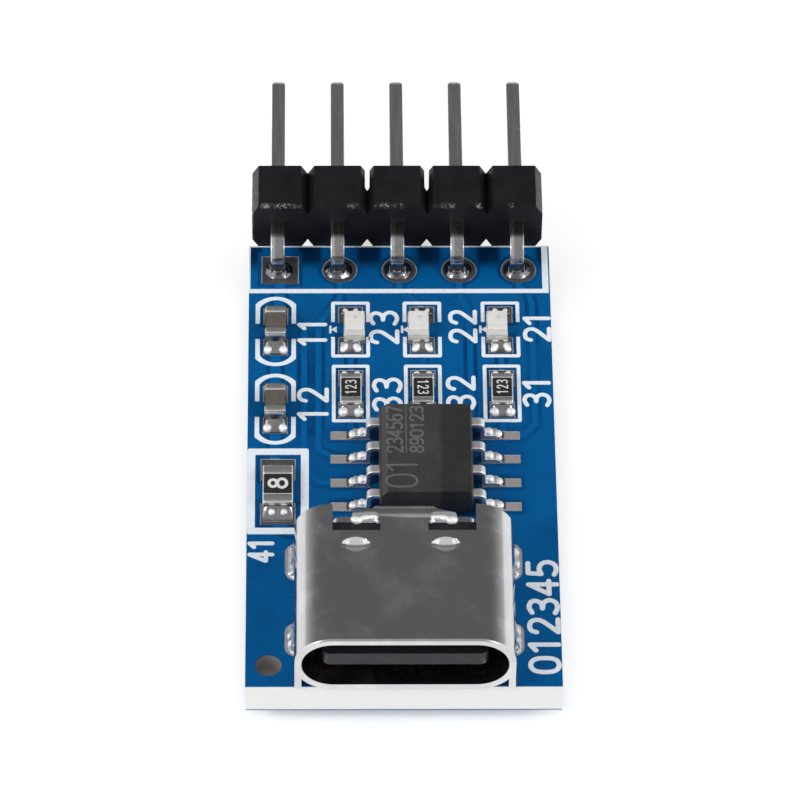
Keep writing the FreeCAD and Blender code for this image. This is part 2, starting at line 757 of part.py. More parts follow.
def build_shell():
    rear = mouth_y + socket_depth
    half = socket_width / 2
    high = top_z + socket_height
    top_round = socket_height / 2
    outer = front_slab(rectangle(socket_shift - half, socket_shift + half, top_z, high),
                       [0, 0, top_round, top_round], mouth_y, rear)
    edge = [e for e in outer.Edges if e.BoundBox.YMax < mouth_y + 1e-6 and e.BoundBox.ZMax > top_z + 1e-6]
    outer = outer.makeFillet(mouth_round, edge)
    cavity = stadium(half - socket_wall, top_z + socket_wall, high - socket_wall, mouth_y - past, rear + past)
    skirt_room = box(socket_shift - half + socket_wall, socket_shift + half - socket_wall,
                     mouth_y - past, rear + past, top_z - past, top_z + socket_height / 2)
    tube = stadium(half, top_z, high, mouth_y - 2 * past, rear + 2 * past)
    tail_room = box(socket_shift - half + tail_room_side, socket_shift + half - tail_room_side,
                    mouth_y + tail_room_front, rear + past, top_z - past, top_z + tail_room_height)
    window = box(socket_shift - window_half_width, socket_shift + window_half_width,
                 mouth_y + window_front, rear + past, high - through * socket_wall, high + past)
    shell = outer.cut(cavity).cut(skirt_room.cut(tube)).cut(tail_room).cut(window)
    pieces = [shell, build_rear_tab()]
    for side, y, _ in leg_places():
        pieces.append(build_leg(side, y))
    shell = joined(pieces)
    dimples = []
    for side in (-1, 1):
        dimples.append(build_dimple(socket_shift + dimple_shift + side * dimple_spacing / 2))
    return shell.cut(Part.makeCompound(dimples))


def build_rear_tab():
    # The neck runs back between the windows, widens into two wings and bends down as the rear plate.
    high = top_z + socket_height
    half_wall = socket_wall / 2
    front = mouth_y + window_front
    back = mouth_y + rear_plate_back
    path = [(front, high - half_wall), (back - half_wall, high - half_wall),
            (back - half_wall, top_z + rear_plate_bottom)]
    points, radii = strip(path, socket_wall, rear_plate_bend)
    left = socket_shift - rear_plate_half_width
    right = socket_shift + rear_plate_half_width
    bent = side_slab(points, radii, left, right)
    wing_y = mouth_y + wing_front
    neck = [(neck_half_width, front - past), (neck_half_width, wing_y), (wing_half_width, wing_y),
            (wing_half_width, wing_y + wing_length), (tab_half_width, back - rear_plate_bend),
            (tab_half_width, back + past)]
    points = [(socket_shift + u, v) for u, v in neck] + [(socket_shift - u, v) for u, v in neck[::-1]]
    rounds = [0, neck_round, wing_round, wing_round, tab_round, 0]
    plan = slab(points, rounds + rounds[::-1], top_z, high + past)
    upright = front_slab(rectangle(left, right, top_z + rear_plate_bottom, top_z + rear_plate_top),
                         [rear_plate_low_round] * 2 + [rear_plate_high_round] * 2,
                         back - socket_wall, back + past)
    return bent.common(joined([plan, upright]))


def build_leg(side, y):
    x = leg_x(side)
    low = top_z - leg_length
    half = leg_width / 2
    points = [(y - half, top_z + socket_wall), (y - half, low + leg_point), (y - half + leg_point, low),
              (y + half - leg_point, low), (y + half, low + leg_point), (y + half, top_z + socket_wall)]
    return side_slab(points, [0] * len(points), x - socket_wall / 2, x + socket_wall / 2)


def build_dimple(x):
    # An oval hollow pressed into the top of the shell, cut by a spindle that lies across the socket.
    y = mouth_y + dimple_from_mouth
    low = top_z + socket_height - dimple_depth
    long_radius = (dimple_length ** 2 / 4 + dimple_depth ** 2) / (2 * dimple_depth)
    short_radius = (dimple_width ** 2 / 4 + dimple_depth ** 2) / (2 * dimple_depth)
    reach = math.sqrt(long_radius ** 2 - (long_radius - short_radius) ** 2)
    left = FreeCAD.Vector(x - reach, y, low + short_radius)
    right = FreeCAD.Vector(x + reach, y, low + short_radius)
    bow = Part.Arc(left, FreeCAD.Vector(x, y, low), right).toShape()
    half_section = Part.Face(Part.Wire([bow, Part.LineSegment(right, left).toShape()]))
    return half_section.revolve(left, FreeCAD.Vector(1, 0, 0), 360)


def contact_shape(step_index, tongue_x, tail_x, blade_z):
    # A contact blade on the tongue that steps sideways inside the base, drops behind it and ends in a foot.
    half = contact_width / 2
    half_thick = contact_thick / 2
    z0 = blade_z - half_thick
    z1 = blade_z + half_thick
    start = mouth_y + contact_recess
    step_y = mouth_y + base_front + contact_first_step + step_index * contact_step
    drop_y = mouth_y + base_back
    foot_z = pad_top_z + solder_gap
    low_x = min(tongue_x, tail_x) - half
    high_x = max(tongue_x, tail_x) + half
    blade = box(tongue_x - half, tongue_x + half, start, step_y + contact_step_width, z0, z1)
    jog = box(low_x, high_x, step_y, step_y + contact_step_width, z0, z1)
    run = [(step_y, blade_z), (drop_y + contact_thick, blade_z),
           (drop_y + contact_thick, foot_z + half_thick), (mouth_y + tail_end, foot_z + half_thick)]
    points, radii = strip(run, contact_thick, contact_bend)
    tail = side_slab(points, radii, tail_x - half, tail_x + half)
    return joined([blade, jog, tail])


def socket_middle_z():
    return top_z + socket_height / 2


def inside_half():
    # Half the width inside the shell.
    return socket_width / 2 - socket_wall


def build_contacts():
    upper, lower = contact_rows()
    above = socket_middle_z() + (tongue_thick - contact_thick) / 2
    below = socket_middle_z() - (tongue_thick - contact_thick) / 2
    upper_set = [contact_shape(i, tongue_x, tail_x, above) for i, tongue_x, tail_x in upper]
    lower_set = [contact_shape(i, tongue_x, tail_x, below) for i, tongue_x, tail_x in lower]
    return Part.makeCompound(upper_set), Part.makeCompound(lower_set)


def build_mid_plate():
    half = inside_half() - tongue_side_gap - mid_plate_side_gap
    return rounded_box(socket_shift - half, socket_shift + half, mouth_y + mid_plate_recess,
                       mouth_y + base_back - mid_plate_end, socket_middle_z() - mid_plate_thick / 2,
                       socket_middle_z() + mid_plate_thick / 2, mid_plate_round)


def build_insulator(mid_plate, upper, lower):
    middle = socket_middle_z()
    tongue_half = inside_half() - tongue_side_gap
    root_half = inside_half() - root_side_gap
    base = stadium(inside_half(), top_z + socket_wall, top_z + socket_height - socket_wall,
                   mouth_y + base_front, mouth_y + base_back)
    tongue = slab(rectangle(socket_shift - tongue_half, socket_shift + tongue_half,
                            mouth_y + tongue_recess, mouth_y + base_front + contact_first_step),
                  [tongue_round, tongue_round, 0, 0], middle - tongue_thick / 2, middle + tongue_thick / 2)
    root = box(socket_shift - root_half, socket_shift + root_half,
               mouth_y + base_front - root_length, mouth_y + base_front + contact_first_step,
               middle - root_thick / 2, middle + root_thick / 2)
    pieces = [base, tongue, root]
    for x, y in peg_places():
        pieces.append(rod(x, y, top_z - peg_length, top_z + socket_wall + peg_dia, peg_dia))
    body = joined(pieces)
    return body.cut(Part.makeCompound([mid_plate, upper, lower]))


def joint_face(inner, end, outer, base_z, gap, climb, place):
    # Section of a soldered end: a thin bed under the terminal and a hollow fillet up its end.
    slope_u = outer - end
    slope_v = climb - solder_lip
    middle = ((outer + end) / 2 - solder_hollow * slope_v,
              base_z + (solder_lip + climb) / 2 - solder_hollow * slope_u)
    points = [(inner, base_z), (outer, base_z), (outer, base_z + solder_lip)]
    rest = [(end, base_z + climb), (end, base_z + gap), (inner, base_z + gap)]
    edges = []
    for a, b in zip(points, points[1:]):
        edges.append(Part.LineSegment(place(*a), place(*b)).toShape())
    edges.append(Part.Arc(place(*points[-1]), place(*middle), place(*rest[0])).toShape())
    for a, b in zip(rest, rest[1:] + points[:1]):
        edges.append(Part.LineSegment(place(*a), place(*b)).toShape())
    return Part.Face(Part.Wire(edges))


def climb_face(reach, climb, place):
    # Section of solder that climbs a wall from a flat bed, hollow between its two edges.
    middle = (reach / 2 - solder_hollow * climb, climb / 2 - solder_hollow * reach)
    edges = [Part.LineSegment(place(0, 0), place(reach, 0)).toShape(),
             Part.Arc(place(reach, 0), place(*middle), place(0, climb)).toShape(),
             Part.LineSegment(place(0, climb), place(0, 0)).toShape()]
    return Part.Face(Part.Wire(edges))


def end_joint(x, y, side, inner, end, outer, width, climb):
    # The soldered end of a part that lies front to back; side is 1 for the rear end.
    x0 = x - width / 2
    face = joint_face(inner, end, outer, pad_top_z, solder_gap, climb,
                      lambda u, v: FreeCAD.Vector(x0, y + side * u, v))
    return face.extrude(FreeCAD.Vector(width, 0, 0))


def build_small_part_solder():
    joints = []
    end = small_part_length / 2
    led_climb = solder_gap + part_solder_share * (led_base_thick + 2 * plating_thick)
    resistor_climb = solder_gap + part_solder_share * (resistor_thick + 2 * plating_thick)
    cap_climb = solder_gap + part_solder_share * cap_height
    fuse_climb = solder_gap + part_solder_share * (fuse_thick + 2 * plating_thick)
    width = small_pad_width - 2 * mask_margin
    for side in (-1, 1):
        for x in column_places:
            joints.append(end_joint(x, back_y - led_row_from_back, side, small_pad_inner + mask_margin, end,
                                    small_pad_outer - mask_margin, width, led_climb))
            joints.append(end_joint(x, back_y - resistor_row_from_back, side, small_pad_inner + mask_margin,
                                    end, small_pad_outer - mask_margin, width, resistor_climb))
        for row in cap_rows_from_back:
            joints.append(end_joint(cap_x, back_y - row, side, small_pad_inner + mask_margin, end,
                                    small_pad_outer - mask_margin, width, cap_climb))
        joints.append(end_joint(fuse_x, back_y - fuse_from_back, side, fuse_pad_inner + mask_margin,
                                fuse_length / 2, fuse_pad_outer - mask_margin,
                                fuse_pad_width - 2 * mask_margin, fuse_climb))
    return Part.makeCompound(joints)


def build_leg_solder(shell):
    # Solder fills each slot around its leg and climbs the outside of the shell.
    joints = []
    for side, y, length in leg_places():
        x = leg_x(side)
        wall_x = socket_shift + side * socket_width / 2
        outer_x = x + side * (leg_pad_width / 2 - mask_margin)
        fill = slot(x, y, leg_slot_width, leg_slot_length, pad_bottom_z - leg_solder_below, pad_top_z)
        bed = leg_pad(side, y, length, -mask_margin, pad_top_z, top_z)
        start_y = y - length / 2 + leg_solder_end_gap
        face = climb_face(abs(outer_x - wall_x), leg_solder_height,
                          lambda u, v: FreeCAD.Vector(wall_x + side * u, start_y, top_z + v))
        climb = face.extrude(FreeCAD.Vector(0, length - 2 * leg_solder_end_gap, 0))
        joints.append(joined([fill, bed, climb]).cut(shell))
    return Part.makeCompound(joints)


def build_tail_solder():
    joints = []
    upper, lower = contact_rows()
    foot_end = mouth_y + tail_end
    climb = solder_gap + 0.8 * contact_thick
    for _, _, tail_x in upper + lower:
        joints.append(end_joint(tail_x, foot_end, 1, -tail_solder_length, 0,
                                tail_pad_back - tail_end - mask_margin, contact_width, climb))
    return Part.makeCompound(joints)


def chip_bottom_z():
    return top_z + chip_standoff


def lead_plane_z():
    return chip_bottom_z() + chip_height / 2


def build_lead(side, y):
    # A gull-wing lead, from its inner end in the body to its foot on the pad.
    foot_z = pad_top_z + solder_gap + lead_thick / 2
    body = chip_width / 2
    path = [(body - lead_inside, lead_plane_z()), (body + lead_shoulder, lead_plane_z()),
            (lead_span / 2 - lead_foot, foot_z), (lead_span / 2, foot_z)]
    points, radii = strip([(chip_x + side * u, v) for u, v in path], lead_thick, lead_bend)
    return front_slab(points, radii, y - lead_width / 2, y + lead_width / 2)


def build_chip_inside():
    y = back_y - chip_from_back
    pad_top = lead_plane_z() - lead_thick / 2
    die_top = pad_top + die_thick
    pad = box(chip_x - die_pad_width / 2, chip_x + die_pad_width / 2, y - die_pad_length / 2,
              y + die_pad_length / 2, pad_top - die_pad_thick, pad_top)
    die = box(chip_x - die_width / 2, chip_x + die_width / 2, y - die_length / 2, y + die_length / 2,
              pad_top, die_top)
    return pad, die


def build_bond_wires(die, leads):
    # Fine gold arches from the edge of the die to the inner end of each lead.
    wires = []
    middle_y = back_y - chip_from_back
    pad_top = lead_plane_z() - lead_thick / 2
    die_top = pad_top + die_thick
    lead_top = lead_plane_z() + lead_thick / 2
    for side, y in chip_lead_places():
        die_x = chip_x + side * (die_width / 2 - bond_from_die_edge)
        die_y = middle_y + (y - middle_y) * bond_fan
        lead_x = chip_x + side * (chip_width / 2 - lead_inside + bond_from_lead_end)
        start = FreeCAD.Vector(die_x, die_y, die_top - bond_wire_dia / 2)
        end = FreeCAD.Vector(lead_x, y, lead_top - bond_wire_dia / 2)
        peak = (start + end) * 0.5 + FreeCAD.Vector(0, 0, bond_wire_rise)
        arc = Part.Arc(start, peak, end)
        tangent = arc.toShape().tangentAt(arc.toShape().FirstParameter)
        ring = Part.Wire(Part.makeCircle(bond_wire_dia / 2, start, tangent))
        wires.append(Part.Wire([arc.toShape()]).makePipeShell([ring], True, True))
    cutters = Part.makeCompound([die] + leads)
    return Part.makeCompound(wires).cut(cutters)


def chip_ring(shrink, z):
    half_x = chip_width / 2 - shrink
    half_y = chip_length / 2 - shrink
    y = back_y - chip_from_back
    return rounded_wire(rectangle(chip_x - half_x, chip_x + half_x, y - half_y, y + half_y), [chip_round] * 4,
                        lambda u, v: FreeCAD.Vector(u, v, z))


def build_chip_body(inside):
    low = chip_bottom_z()
    high = low + chip_height
    lower = Part.makeLoft([chip_ring(chip_draft, low), chip_ring(0, lead_plane_z())], True, True)
    upper = Part.makeLoft([chip_ring(0, lead_plane_z()), chip_ring(chip_draft, high)], True, True)
    body = lower.fuse(upper)
    y = back_y - chip_from_back
    edge_x = chip_x - chip_width / 2 + chip_draft
    wedge = [(edge_x - past, high + past), (edge_x - past, high - chip_edge_cut), (edge_x, high - chip_edge_cut),
             (edge_x + chip_edge_cut, high), (edge_x + chip_edge_cut, high + past)]
    bevel = front_slab(wedge, [0] * len(wedge), y - chip_length / 2 - past, y + chip_length / 2 + past)
    return body.cut(bevel).cut(inside)


def build_chip_solder():
    joints = []
    toe = lead_span / 2
    for side, y in chip_lead_places():
        face = joint_face(toe - lead_solder_length, toe, toe + lead_solder_reach, pad_top_z, solder_gap,
                          lead_solder_climb,
                          lambda u, v: FreeCAD.Vector(chip_x + side * u, y - lead_width / 2, v))
        joints.append(face.extrude(FreeCAD.Vector(0, lead_width, 0)))
    return Part.makeCompound(joints)


def wrapped_ends(x, y, length, width, z0, thick, end_length, sides):
    # Plated ends that wrap over a block; with sides they cover its long sides too.
    x_grow = plating_thick if sides else 0
    ends = []
    core = box(x - width / 2, x + width / 2, y - length / 2 + plating_thick, y + length / 2 - plating_thick,
               z0 + plating_thick, z0 + plating_thick + thick)
    for side in (-1, 1):
        outer_y = y + side * length / 2
        inner_y = y + side * (length / 2 - end_length)
        outer = box(x - width / 2 - x_grow, x + width / 2 + x_grow,
                    min(outer_y, inner_y), max(outer_y, inner_y), z0, z0 + thick + 2 * plating_thick)
        if sides:
            rounded = [e for e in outer.Edges if side * (e.CenterOfMass.y - inner_y) > 1e-6]
            outer = outer.makeFillet(cap_round, rounded)
        ends.append(outer.cut(core))
    return core, Part.makeCompound(ends)


def build_led(number, x):
    y = back_y - led_row_from_back
    z0 = pad_top_z + solder_gap
    base, lands = wrapped_ends(x, y, small_part_length, small_part_width, z0, led_base_thick,
                               led_land_length, False)
    base_top = z0 + plating_thick + led_base_thick
    die = box(x - led_die_side / 2, x + led_die_side / 2, y - led_die_side / 2, y + led_die_side / 2,
              base_top, base_top + led_die_height)
    half_x = small_part_width / 2
    half_y = led_lens_length / 2
    rings = []
    for shrink, z in ((0, base_top), (led_lens_draft, base_top + led_lens_height)):
        rings.append(rounded_wire(rectangle(x - half_x + shrink, x + half_x - shrink,
                                            y - half_y + shrink, y + half_y - shrink),
                                  [led_lens_round] * 4, lambda u, v, z=z: FreeCAD.Vector(u, v, z)))
    lens = Part.makeLoft(rings, True, True).cut(die)
    save("led_%d_base" % number, base)
    save("led_%d_lands" % number, lands)
    save("led_%d_die" % number, die)
    save("led_%d_lens" % number, lens)


def build_resistor(name, x, y, length, width, thick, end_length):
    z0 = pad_top_z + solder_gap
    block, ends = wrapped_ends(x, y, length, width, z0, thick, end_length, False)
    top = z0 + plating_thick + thick
    overcoat = box(x - width / 2 + overcoat_side_gap, x + width / 2 - overcoat_side_gap,
                   y - length / 2 + end_length, y + length / 2 - end_length, top, top + overcoat_thick)
    save(name + "_ceramic", block)
    save(name + "_end_caps", ends)
    save(name + "_overcoat", overcoat)


def build_capacitor(name, x, y):
    z0 = pad_top_z + solder_gap
    thick = cap_height - 2 * plating_thick
    block, ends = wrapped_ends(x, y, small_part_length, small_part_width - 2 * plating_thick, z0, thick,
                               cap_end_length, True)
    save(name + "_ceramic", block)
    save(name + "_end_caps", ends)


def build_header():
    pins = [build_pin(place) for place in header_places()]
    save("header_housing", build_housing())
    for number, pin in enumerate(pins, 1):
        save("header_pin_%d" % number, pin)
    save("header_solder", build_header_solder(pins))


def build_socket():
    shell = build_shell()
    upper, lower = build_contacts()
    mid_plate = build_mid_plate()
    save("socket_shell", shell)
    save("socket_upper_contacts", upper)
    save("socket_lower_contacts", lower)
    save("socket_mid_plate", mid_plate)
    save("socket_insulator", build_insulator(mid_plate, upper, lower))
    save("socket_leg_solder", build_leg_solder(shell))
    save("socket_tail_solder", build_tail_solder())


def build_chip():
    left = [build_lead(side, y) for side, y in chip_lead_places() if side < 0]
    right = [build_lead(side, y) for side, y in chip_lead_places() if side > 0]
    pad, die = build_chip_inside()
    wires = build_bond_wires(die, left + right)
    save("chip_left_leads", Part.makeCompound(left))
    save("chip_right_leads", Part.makeCompound(right))
    save("chip_die_pad", pad)
    save("chip_die", die)
    save("chip_bond_wires", wires)
    save("chip_body", build_chip_body(Part.makeCompound(left + right + [pad, die, wires])))
    save("chip_solder", build_chip_solder())


def build_board():
    pads = build_pads()
    traces = build_traces(pads)
    save("board_core", build_board_core())
    save("board_pads", pads)
    save("board_traces", traces)
    save("board_top_mask", build_top_mask(traces))
    save("board_bottom_mask", build_bottom_mask())
    save("board_legend", build_legend())


def build_small_parts():
    for number, x in enumerate(column_places, 1):
        build_led(number, x + led_shifts[number - 1])
        build_resistor("resistor_%d" % number, x, back_y - resistor_row_from_back, small_part_length,
                       small_part_width, resistor_thick, resistor_cap_length)
    build_resistor("fuse", fuse_x, back_y - fuse_from_back, fuse_length, fuse_width, fuse_thick,
                   fuse_cap_length)
    for number, row in enumerate(cap_rows_from_back, 1):
        build_capacitor("capacitor_%d" % number, cap_x, back_y - row)
    save("small_part_solder", build_small_part_solder())


os.makedirs("parts", exist_ok=True)
build_board()
build_header()
build_socket()
build_chip()
build_small_parts()
for name, shape in sorted(nodes.items()):
    print(name, len(shape.Solids), round(shape.Volume, 4), shape.isValid())
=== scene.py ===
import bpy
import bmesh
import json
import math
from collections import Counter
from mathutils import Matrix, Vector, noise
from mathutils.geometry import delaunay_2d_cdt

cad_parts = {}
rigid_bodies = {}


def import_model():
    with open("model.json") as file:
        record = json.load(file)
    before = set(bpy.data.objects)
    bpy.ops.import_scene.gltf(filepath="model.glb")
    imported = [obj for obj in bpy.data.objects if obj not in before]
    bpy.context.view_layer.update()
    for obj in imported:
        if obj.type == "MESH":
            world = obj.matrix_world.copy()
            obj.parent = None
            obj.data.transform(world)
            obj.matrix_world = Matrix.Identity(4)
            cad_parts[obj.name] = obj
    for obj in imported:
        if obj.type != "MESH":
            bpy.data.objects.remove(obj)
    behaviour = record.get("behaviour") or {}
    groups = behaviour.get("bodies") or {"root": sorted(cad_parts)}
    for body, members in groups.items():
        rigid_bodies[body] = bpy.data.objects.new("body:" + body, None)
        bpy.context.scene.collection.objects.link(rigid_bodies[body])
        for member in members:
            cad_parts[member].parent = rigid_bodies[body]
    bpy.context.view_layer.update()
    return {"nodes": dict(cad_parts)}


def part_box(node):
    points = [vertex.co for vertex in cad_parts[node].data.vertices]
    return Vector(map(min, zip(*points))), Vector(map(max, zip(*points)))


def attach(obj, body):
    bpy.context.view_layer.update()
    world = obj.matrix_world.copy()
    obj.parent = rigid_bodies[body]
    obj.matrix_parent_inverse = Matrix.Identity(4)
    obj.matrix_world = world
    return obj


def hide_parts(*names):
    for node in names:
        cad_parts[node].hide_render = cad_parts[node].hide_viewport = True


# Serial adapter module: small blue board, metal socket in front, pin header behind.
# Everything is in metres in the row frame. Most sizes below are typed in millimetres.

print("loading the frame")
for leftOver in list(bpy.data.objects):
    bpy.data.objects.remove(leftOver)
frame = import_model()
mm = 0.001
nodes = frame["nodes"]
scene = bpy.context.scene
scene.view_settings.view_transform = "Standard"

# heights and places in millimetres; rows are counted from the board's back edge
boardTop = 2.6      # top of the blue mask
padTop = 2.575      # top of the bare pads
plateStep = 0.0002  # each next plate of a sheet is this much higher
backY = 7.75
pinPitch = 2.54
pinRow = 1.33
pinX = tuple(-2 * pinPitch + pinPitch * i for i in range(5))
columnX = (4.25, 0.94, -2.09)       # the LEDs and their resistors
ledRow = 4.7
resistorRow = 8.23
capacitorX = -5.25
capacitorRows = (4.8, 9.08)
fuseX = -5.12
fuseRow = 13.5
chipX = 1.0
chipRow = 12.4
leadPitch = 1.27
leadY = tuple(backY - chipRow + leadPitch * (i - 1.5) for i in range(4))
socketX = 0.04


def boxMm(node):
    low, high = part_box(node)
    return Vector(low) / mm, Vector(high) / mm


def middleOf(node):
    return sum(boxMm(node), Vector()) / 2


class Nodes:
    # a node tree with short ways to add nodes, sums and ramps
    def __init__(self, tree):
        self.tree = tree

    def fill(self, node, inputs):
        # an output is linked; a number, a place or a colour is set on the socket itself
        for key, value in inputs.items():
            socket = node.inputs[key]
            if isinstance(value, bpy.types.NodeSocket):
                self.tree.links.new(value, socket)
            else:
                socket.default_value = (*value, 1) if socket.type == "RGBA" else value

    def node(self, kind, inputs, **settings):
        made = self.tree.nodes.new(kind)
        for key, value in settings.items():
            setattr(made, key, value)
        self.fill(made, inputs)
        return made

    def math(self, operation, a, b=0):
        return self.node("ShaderNodeMath", {0: a, 1: b}, operation=operation).outputs["Value"]

    def times(self, a, b):
        return self.math("MULTIPLY", a, b)

    def span(self, value, low, high, toLow=0.0, toHigh=1.0):
        # a soft ramp from low to high
        inputs = {"Value": value, "From Min": low, "From Max": high, "To Min": toLow, "To Max": toHigh}
        return self.node("ShaderNodeMapRange", inputs, interpolation_type="SMOOTHSTEP").outputs["Result"]

    def spread(self, value, toLow=0.0, toHigh=1.0):
        # a noise seldom leaves 0.3 to 0.7, so that part gets the full range
        return self.span(value, 0.3, 0.7, toLow, toHigh)


class Paint(Nodes):
    # a material with its shader and a coordinate in millimetres at hand
    def __init__(self, name, metal=0.0):
        self.mat = bpy.data.materials.new(name)
        self.mat.use_nodes = True
        super().__init__(self.mat.node_tree)
        self.shader = self.tree.nodes["Principled BSDF"]
        self.set({"Metallic": metal})
        place = self.node("ShaderNodeTexCoord", {}).outputs["Object"]
        scaled = self.node("ShaderNodeMapping", {"Vector": place, "Scale": (1 / mm, 1 / mm, 1 / mm)})
        self.place = scaled.outputs["Vector"]
        self.under = {}

    def set(self, inputs):
        self.fill(self.shader, inputs)

    def noise(self, scale, detail=3, rough=0.5, stretch=None, shift=(0, 0, 0)):
        place = self.place
        if stretch:
            bend = self.node("ShaderNodeMapping", {"Vector": place, "Scale": stretch, "Location": shift})
            place = bend.outputs["Vector"]
        inputs = {"Vector": place, "Scale": scale, "Detail": detail, "Roughness": rough}
        return self.node("ShaderNodeTexNoise", inputs).outputs["Fac"]

    def wave(self, scale, direction, distortion):
        inputs = {"Vector": self.place, "Scale": scale, "Distortion": distortion, "Detail": 1.5}
        return self.node("ShaderNodeTexWave", inputs, bands_direction=direction).outputs["Fac"]

    def axis(self, letter):
        return self.node("ShaderNodeSeparateXYZ", {"Vector": self.place}).outputs[letter]

    def along(self, letter, low, high, toLow=0.0, toHigh=1.0):
        return self.span(self.axis(letter), low, high, toLow, toHigh)

    def awayAlong(self, letter, middle):
        # distance from a middle along one axis, in millimetres
        return self.math("ABSOLUTE", self.math("SUBTRACT", self.axis(letter), middle))

    def awayFrom(self, x, y):
        # distance from an upright line, in millimetres
        inputs = {"Vector": self.place, "Location": (-x, -y, 0), "Scale": (1, 1, 0)}
        flat = self.node("ShaderNodeMapping", inputs).outputs["Vector"]
        return self.node("ShaderNodeVectorMath", {0: flat}, operation="LENGTH").outputs["Value"]

    def mix(self, fac, a, b):
        return self.node("ShaderNodeMix", {"Factor": fac, 6: a, 7: b}, data_type="RGBA").outputs[2]

    def color(self, value):
        self.set({"Base Color": value})

    def rough(self, value):
        self.set({"Roughness": value})

    def bump(self, height, depth, strength):
        # depth in millimetres; each new bump lies on the ones before
        inputs = {"Height": height, "Distance": depth * mm, "Strength": strength, **self.under}
        self.under = {"Normal": self.node("ShaderNodeBump", inputs).outputs["Normal"]}
        self.set(self.under)

print("camera and studio")

cameraSet = {
    "aim": (0, -4.25, 2.6),
    "tilt": 50.014,             # these three in degrees
    "turn": 1.107,
    "roll": 0.79,
    "distance": 247.386,
    "slide": (0.062, -2.619),   # of the aim, to the right and up in the picture
    "lens": 268.31,
}


def setCamera():
    tilt, turn, roll = [math.radians(cameraSet[key]) for key in ("tilt", "turn", "roll")]
    look = Vector((math.sin(turn) * math.cos(tilt), math.cos(turn) * math.cos(tilt), -math.sin(tilt)))
    side = Vector((math.cos(turn), -math.sin(turn), 0))
    top = side.cross(look)
    right = side * math.cos(roll) + top * math.sin(roll)
    up = top * math.cos(roll) - side * math.sin(roll)
    spot = Vector(cameraSet["aim"]) - right * cameraSet["slide"][0] - up * cameraSet["slide"][1]
    spot -= look * cameraSet["distance"]
    data = bpy.data.cameras.new("camera")
    data.sensor_width = 36
    data.lens = cameraSet["lens"]
    data.clip_start = 0.01
    data.clip_end = 20
    camera = bpy.data.objects.new("camera", data)
    scene.collection.objects.link(camera)
    turned = Matrix((right, up, -look)).transposed().to_4x4()
    turned.translation = spot * mm
    camera.matrix_world = turned
    scene.camera = camera


studioSet = {
    "side": 1.45,       # brightness of the cloths, the strip and the card
    "strip": 0.55,
    "card": 0.17,
    # place in metres and power of the two lamps
    "lamps": {"leftBox": ((-0.2, -0.12, 0.2), 0.2), "rightBox": ((0.22, -0.1, 0.19), 0.15)},
    "lampAim": (0, -0.004, 0.003),
    "lampSize": 0.07,
    "floorSize": 1.6,
    "floorColor": (0.9, 0.9, 0.9),
    "floorGlow": 0.36,
    "underBoard": (("X", 0, 6.2), ("Y", -4.2, 11.4)),       # axis, middle and half size in mm
}


def setWorld():
    # two bright cloths at the sides, a dimmer strip between them and a dark card behind
    world = bpy.data.worlds.new("studio")
    scene.world = world
    world.use_nodes = True
    world.node_tree.nodes.clear()
    room = Nodes(world.node_tree)
    place = room.node("ShaderNodeTexCoord", {}).outputs["Generated"]
    way = room.node("ShaderNodeSeparateXYZ", {"Vector": place}).outputs
    cloth = room.span(room.math("ABSOLUTE", way["X"]), 0.3, 0.66, studioSet["strip"], studioSet["side"])
    behind = room.times(room.span(way["Y"], 0.3, 0.52), room.span(way["Z"], -0.7, 0.63))
    both = room.node("ShaderNodeMix", {"Factor": behind, "A": cloth, "B": studioSet["card"]})
    back = room.node("ShaderNodeBackground", {"Color": (1, 1, 1), "Strength": both.outputs["Result"]})
    room.node("ShaderNodeOutputWorld", {"Surface": back.outputs["Background"]})


def setLamps():
    for name, (place, power) in studioSet["lamps"].items():
        data = bpy.data.lights.new(name, "AREA")
        data.size = studioSet["lampSize"]
        data.energy = power
        lamp = bpy.data.objects.new(name, data)
        scene.collection.objects.link(lamp)
        lamp.location = place
        sight = Vector(studioSet["lampAim"]) - Vector(place)
        lamp.rotation_euler = sight.to_track_quat("-Z", "Y").to_euler()


def setFloor():
    half = studioSet["floorSize"] / 2
    mesh = bpy.data.meshes.new("floor")
    corners = [(-half, -half, 0), (half, -half, 0), (half, half, 0), (-half, half, 0)]
    mesh.from_pydata(corners, [], [(0, 1, 2, 3)])
    floor = bpy.data.objects.new("floor", mesh)
    floor.location.z = -0.00002
    scene.collection.objects.link(floor)
    paper = Paint("floorPaper")
    paper.set({"Base Color": studioSet["floorColor"], "Roughness": 0.9, "Specular IOR Level": 0.0})
    # the paper glows where it is seen or mirrored, but not under the board
    reach = [paper.math("DIVIDE", paper.awayAlong(letter, middle), half)
             for letter, middle, half in studioSet["underBoard"]]
    strength = paper.span(paper.math("MAXIMUM", *reach), 0.86, 1.0, 0.0, studioSet["floorGlow"])
    glow = paper.node("ShaderNodeEmission", {"Strength": strength})
    none = paper.node("ShaderNodeEmission", {"Strength": 0.0})
    ray = paper.node("ShaderNodeLightPath", {}).outputs
    seen = paper.math("MAXIMUM", ray["Is Camera Ray"], ray["Is Glossy Ray"])
    seen = paper.math("MAXIMUM", seen, ray["Is Transmission Ray"])
    pick = paper.node("ShaderNodeMixShader", {"Fac": seen, 1: none.outputs[0], 2: glow.outputs[0]})
    add = paper.node("ShaderNodeAddShader", {0: paper.shader.outputs[0], 1: pick.outputs[0]})
    paper.fill(paper.tree.nodes["Material Output"], {"Surface": add.outputs[0]})
    mesh.materials.append(paper.mat)


setCamera()
setWorld()
setFloor()
setLamps()

print("materials")

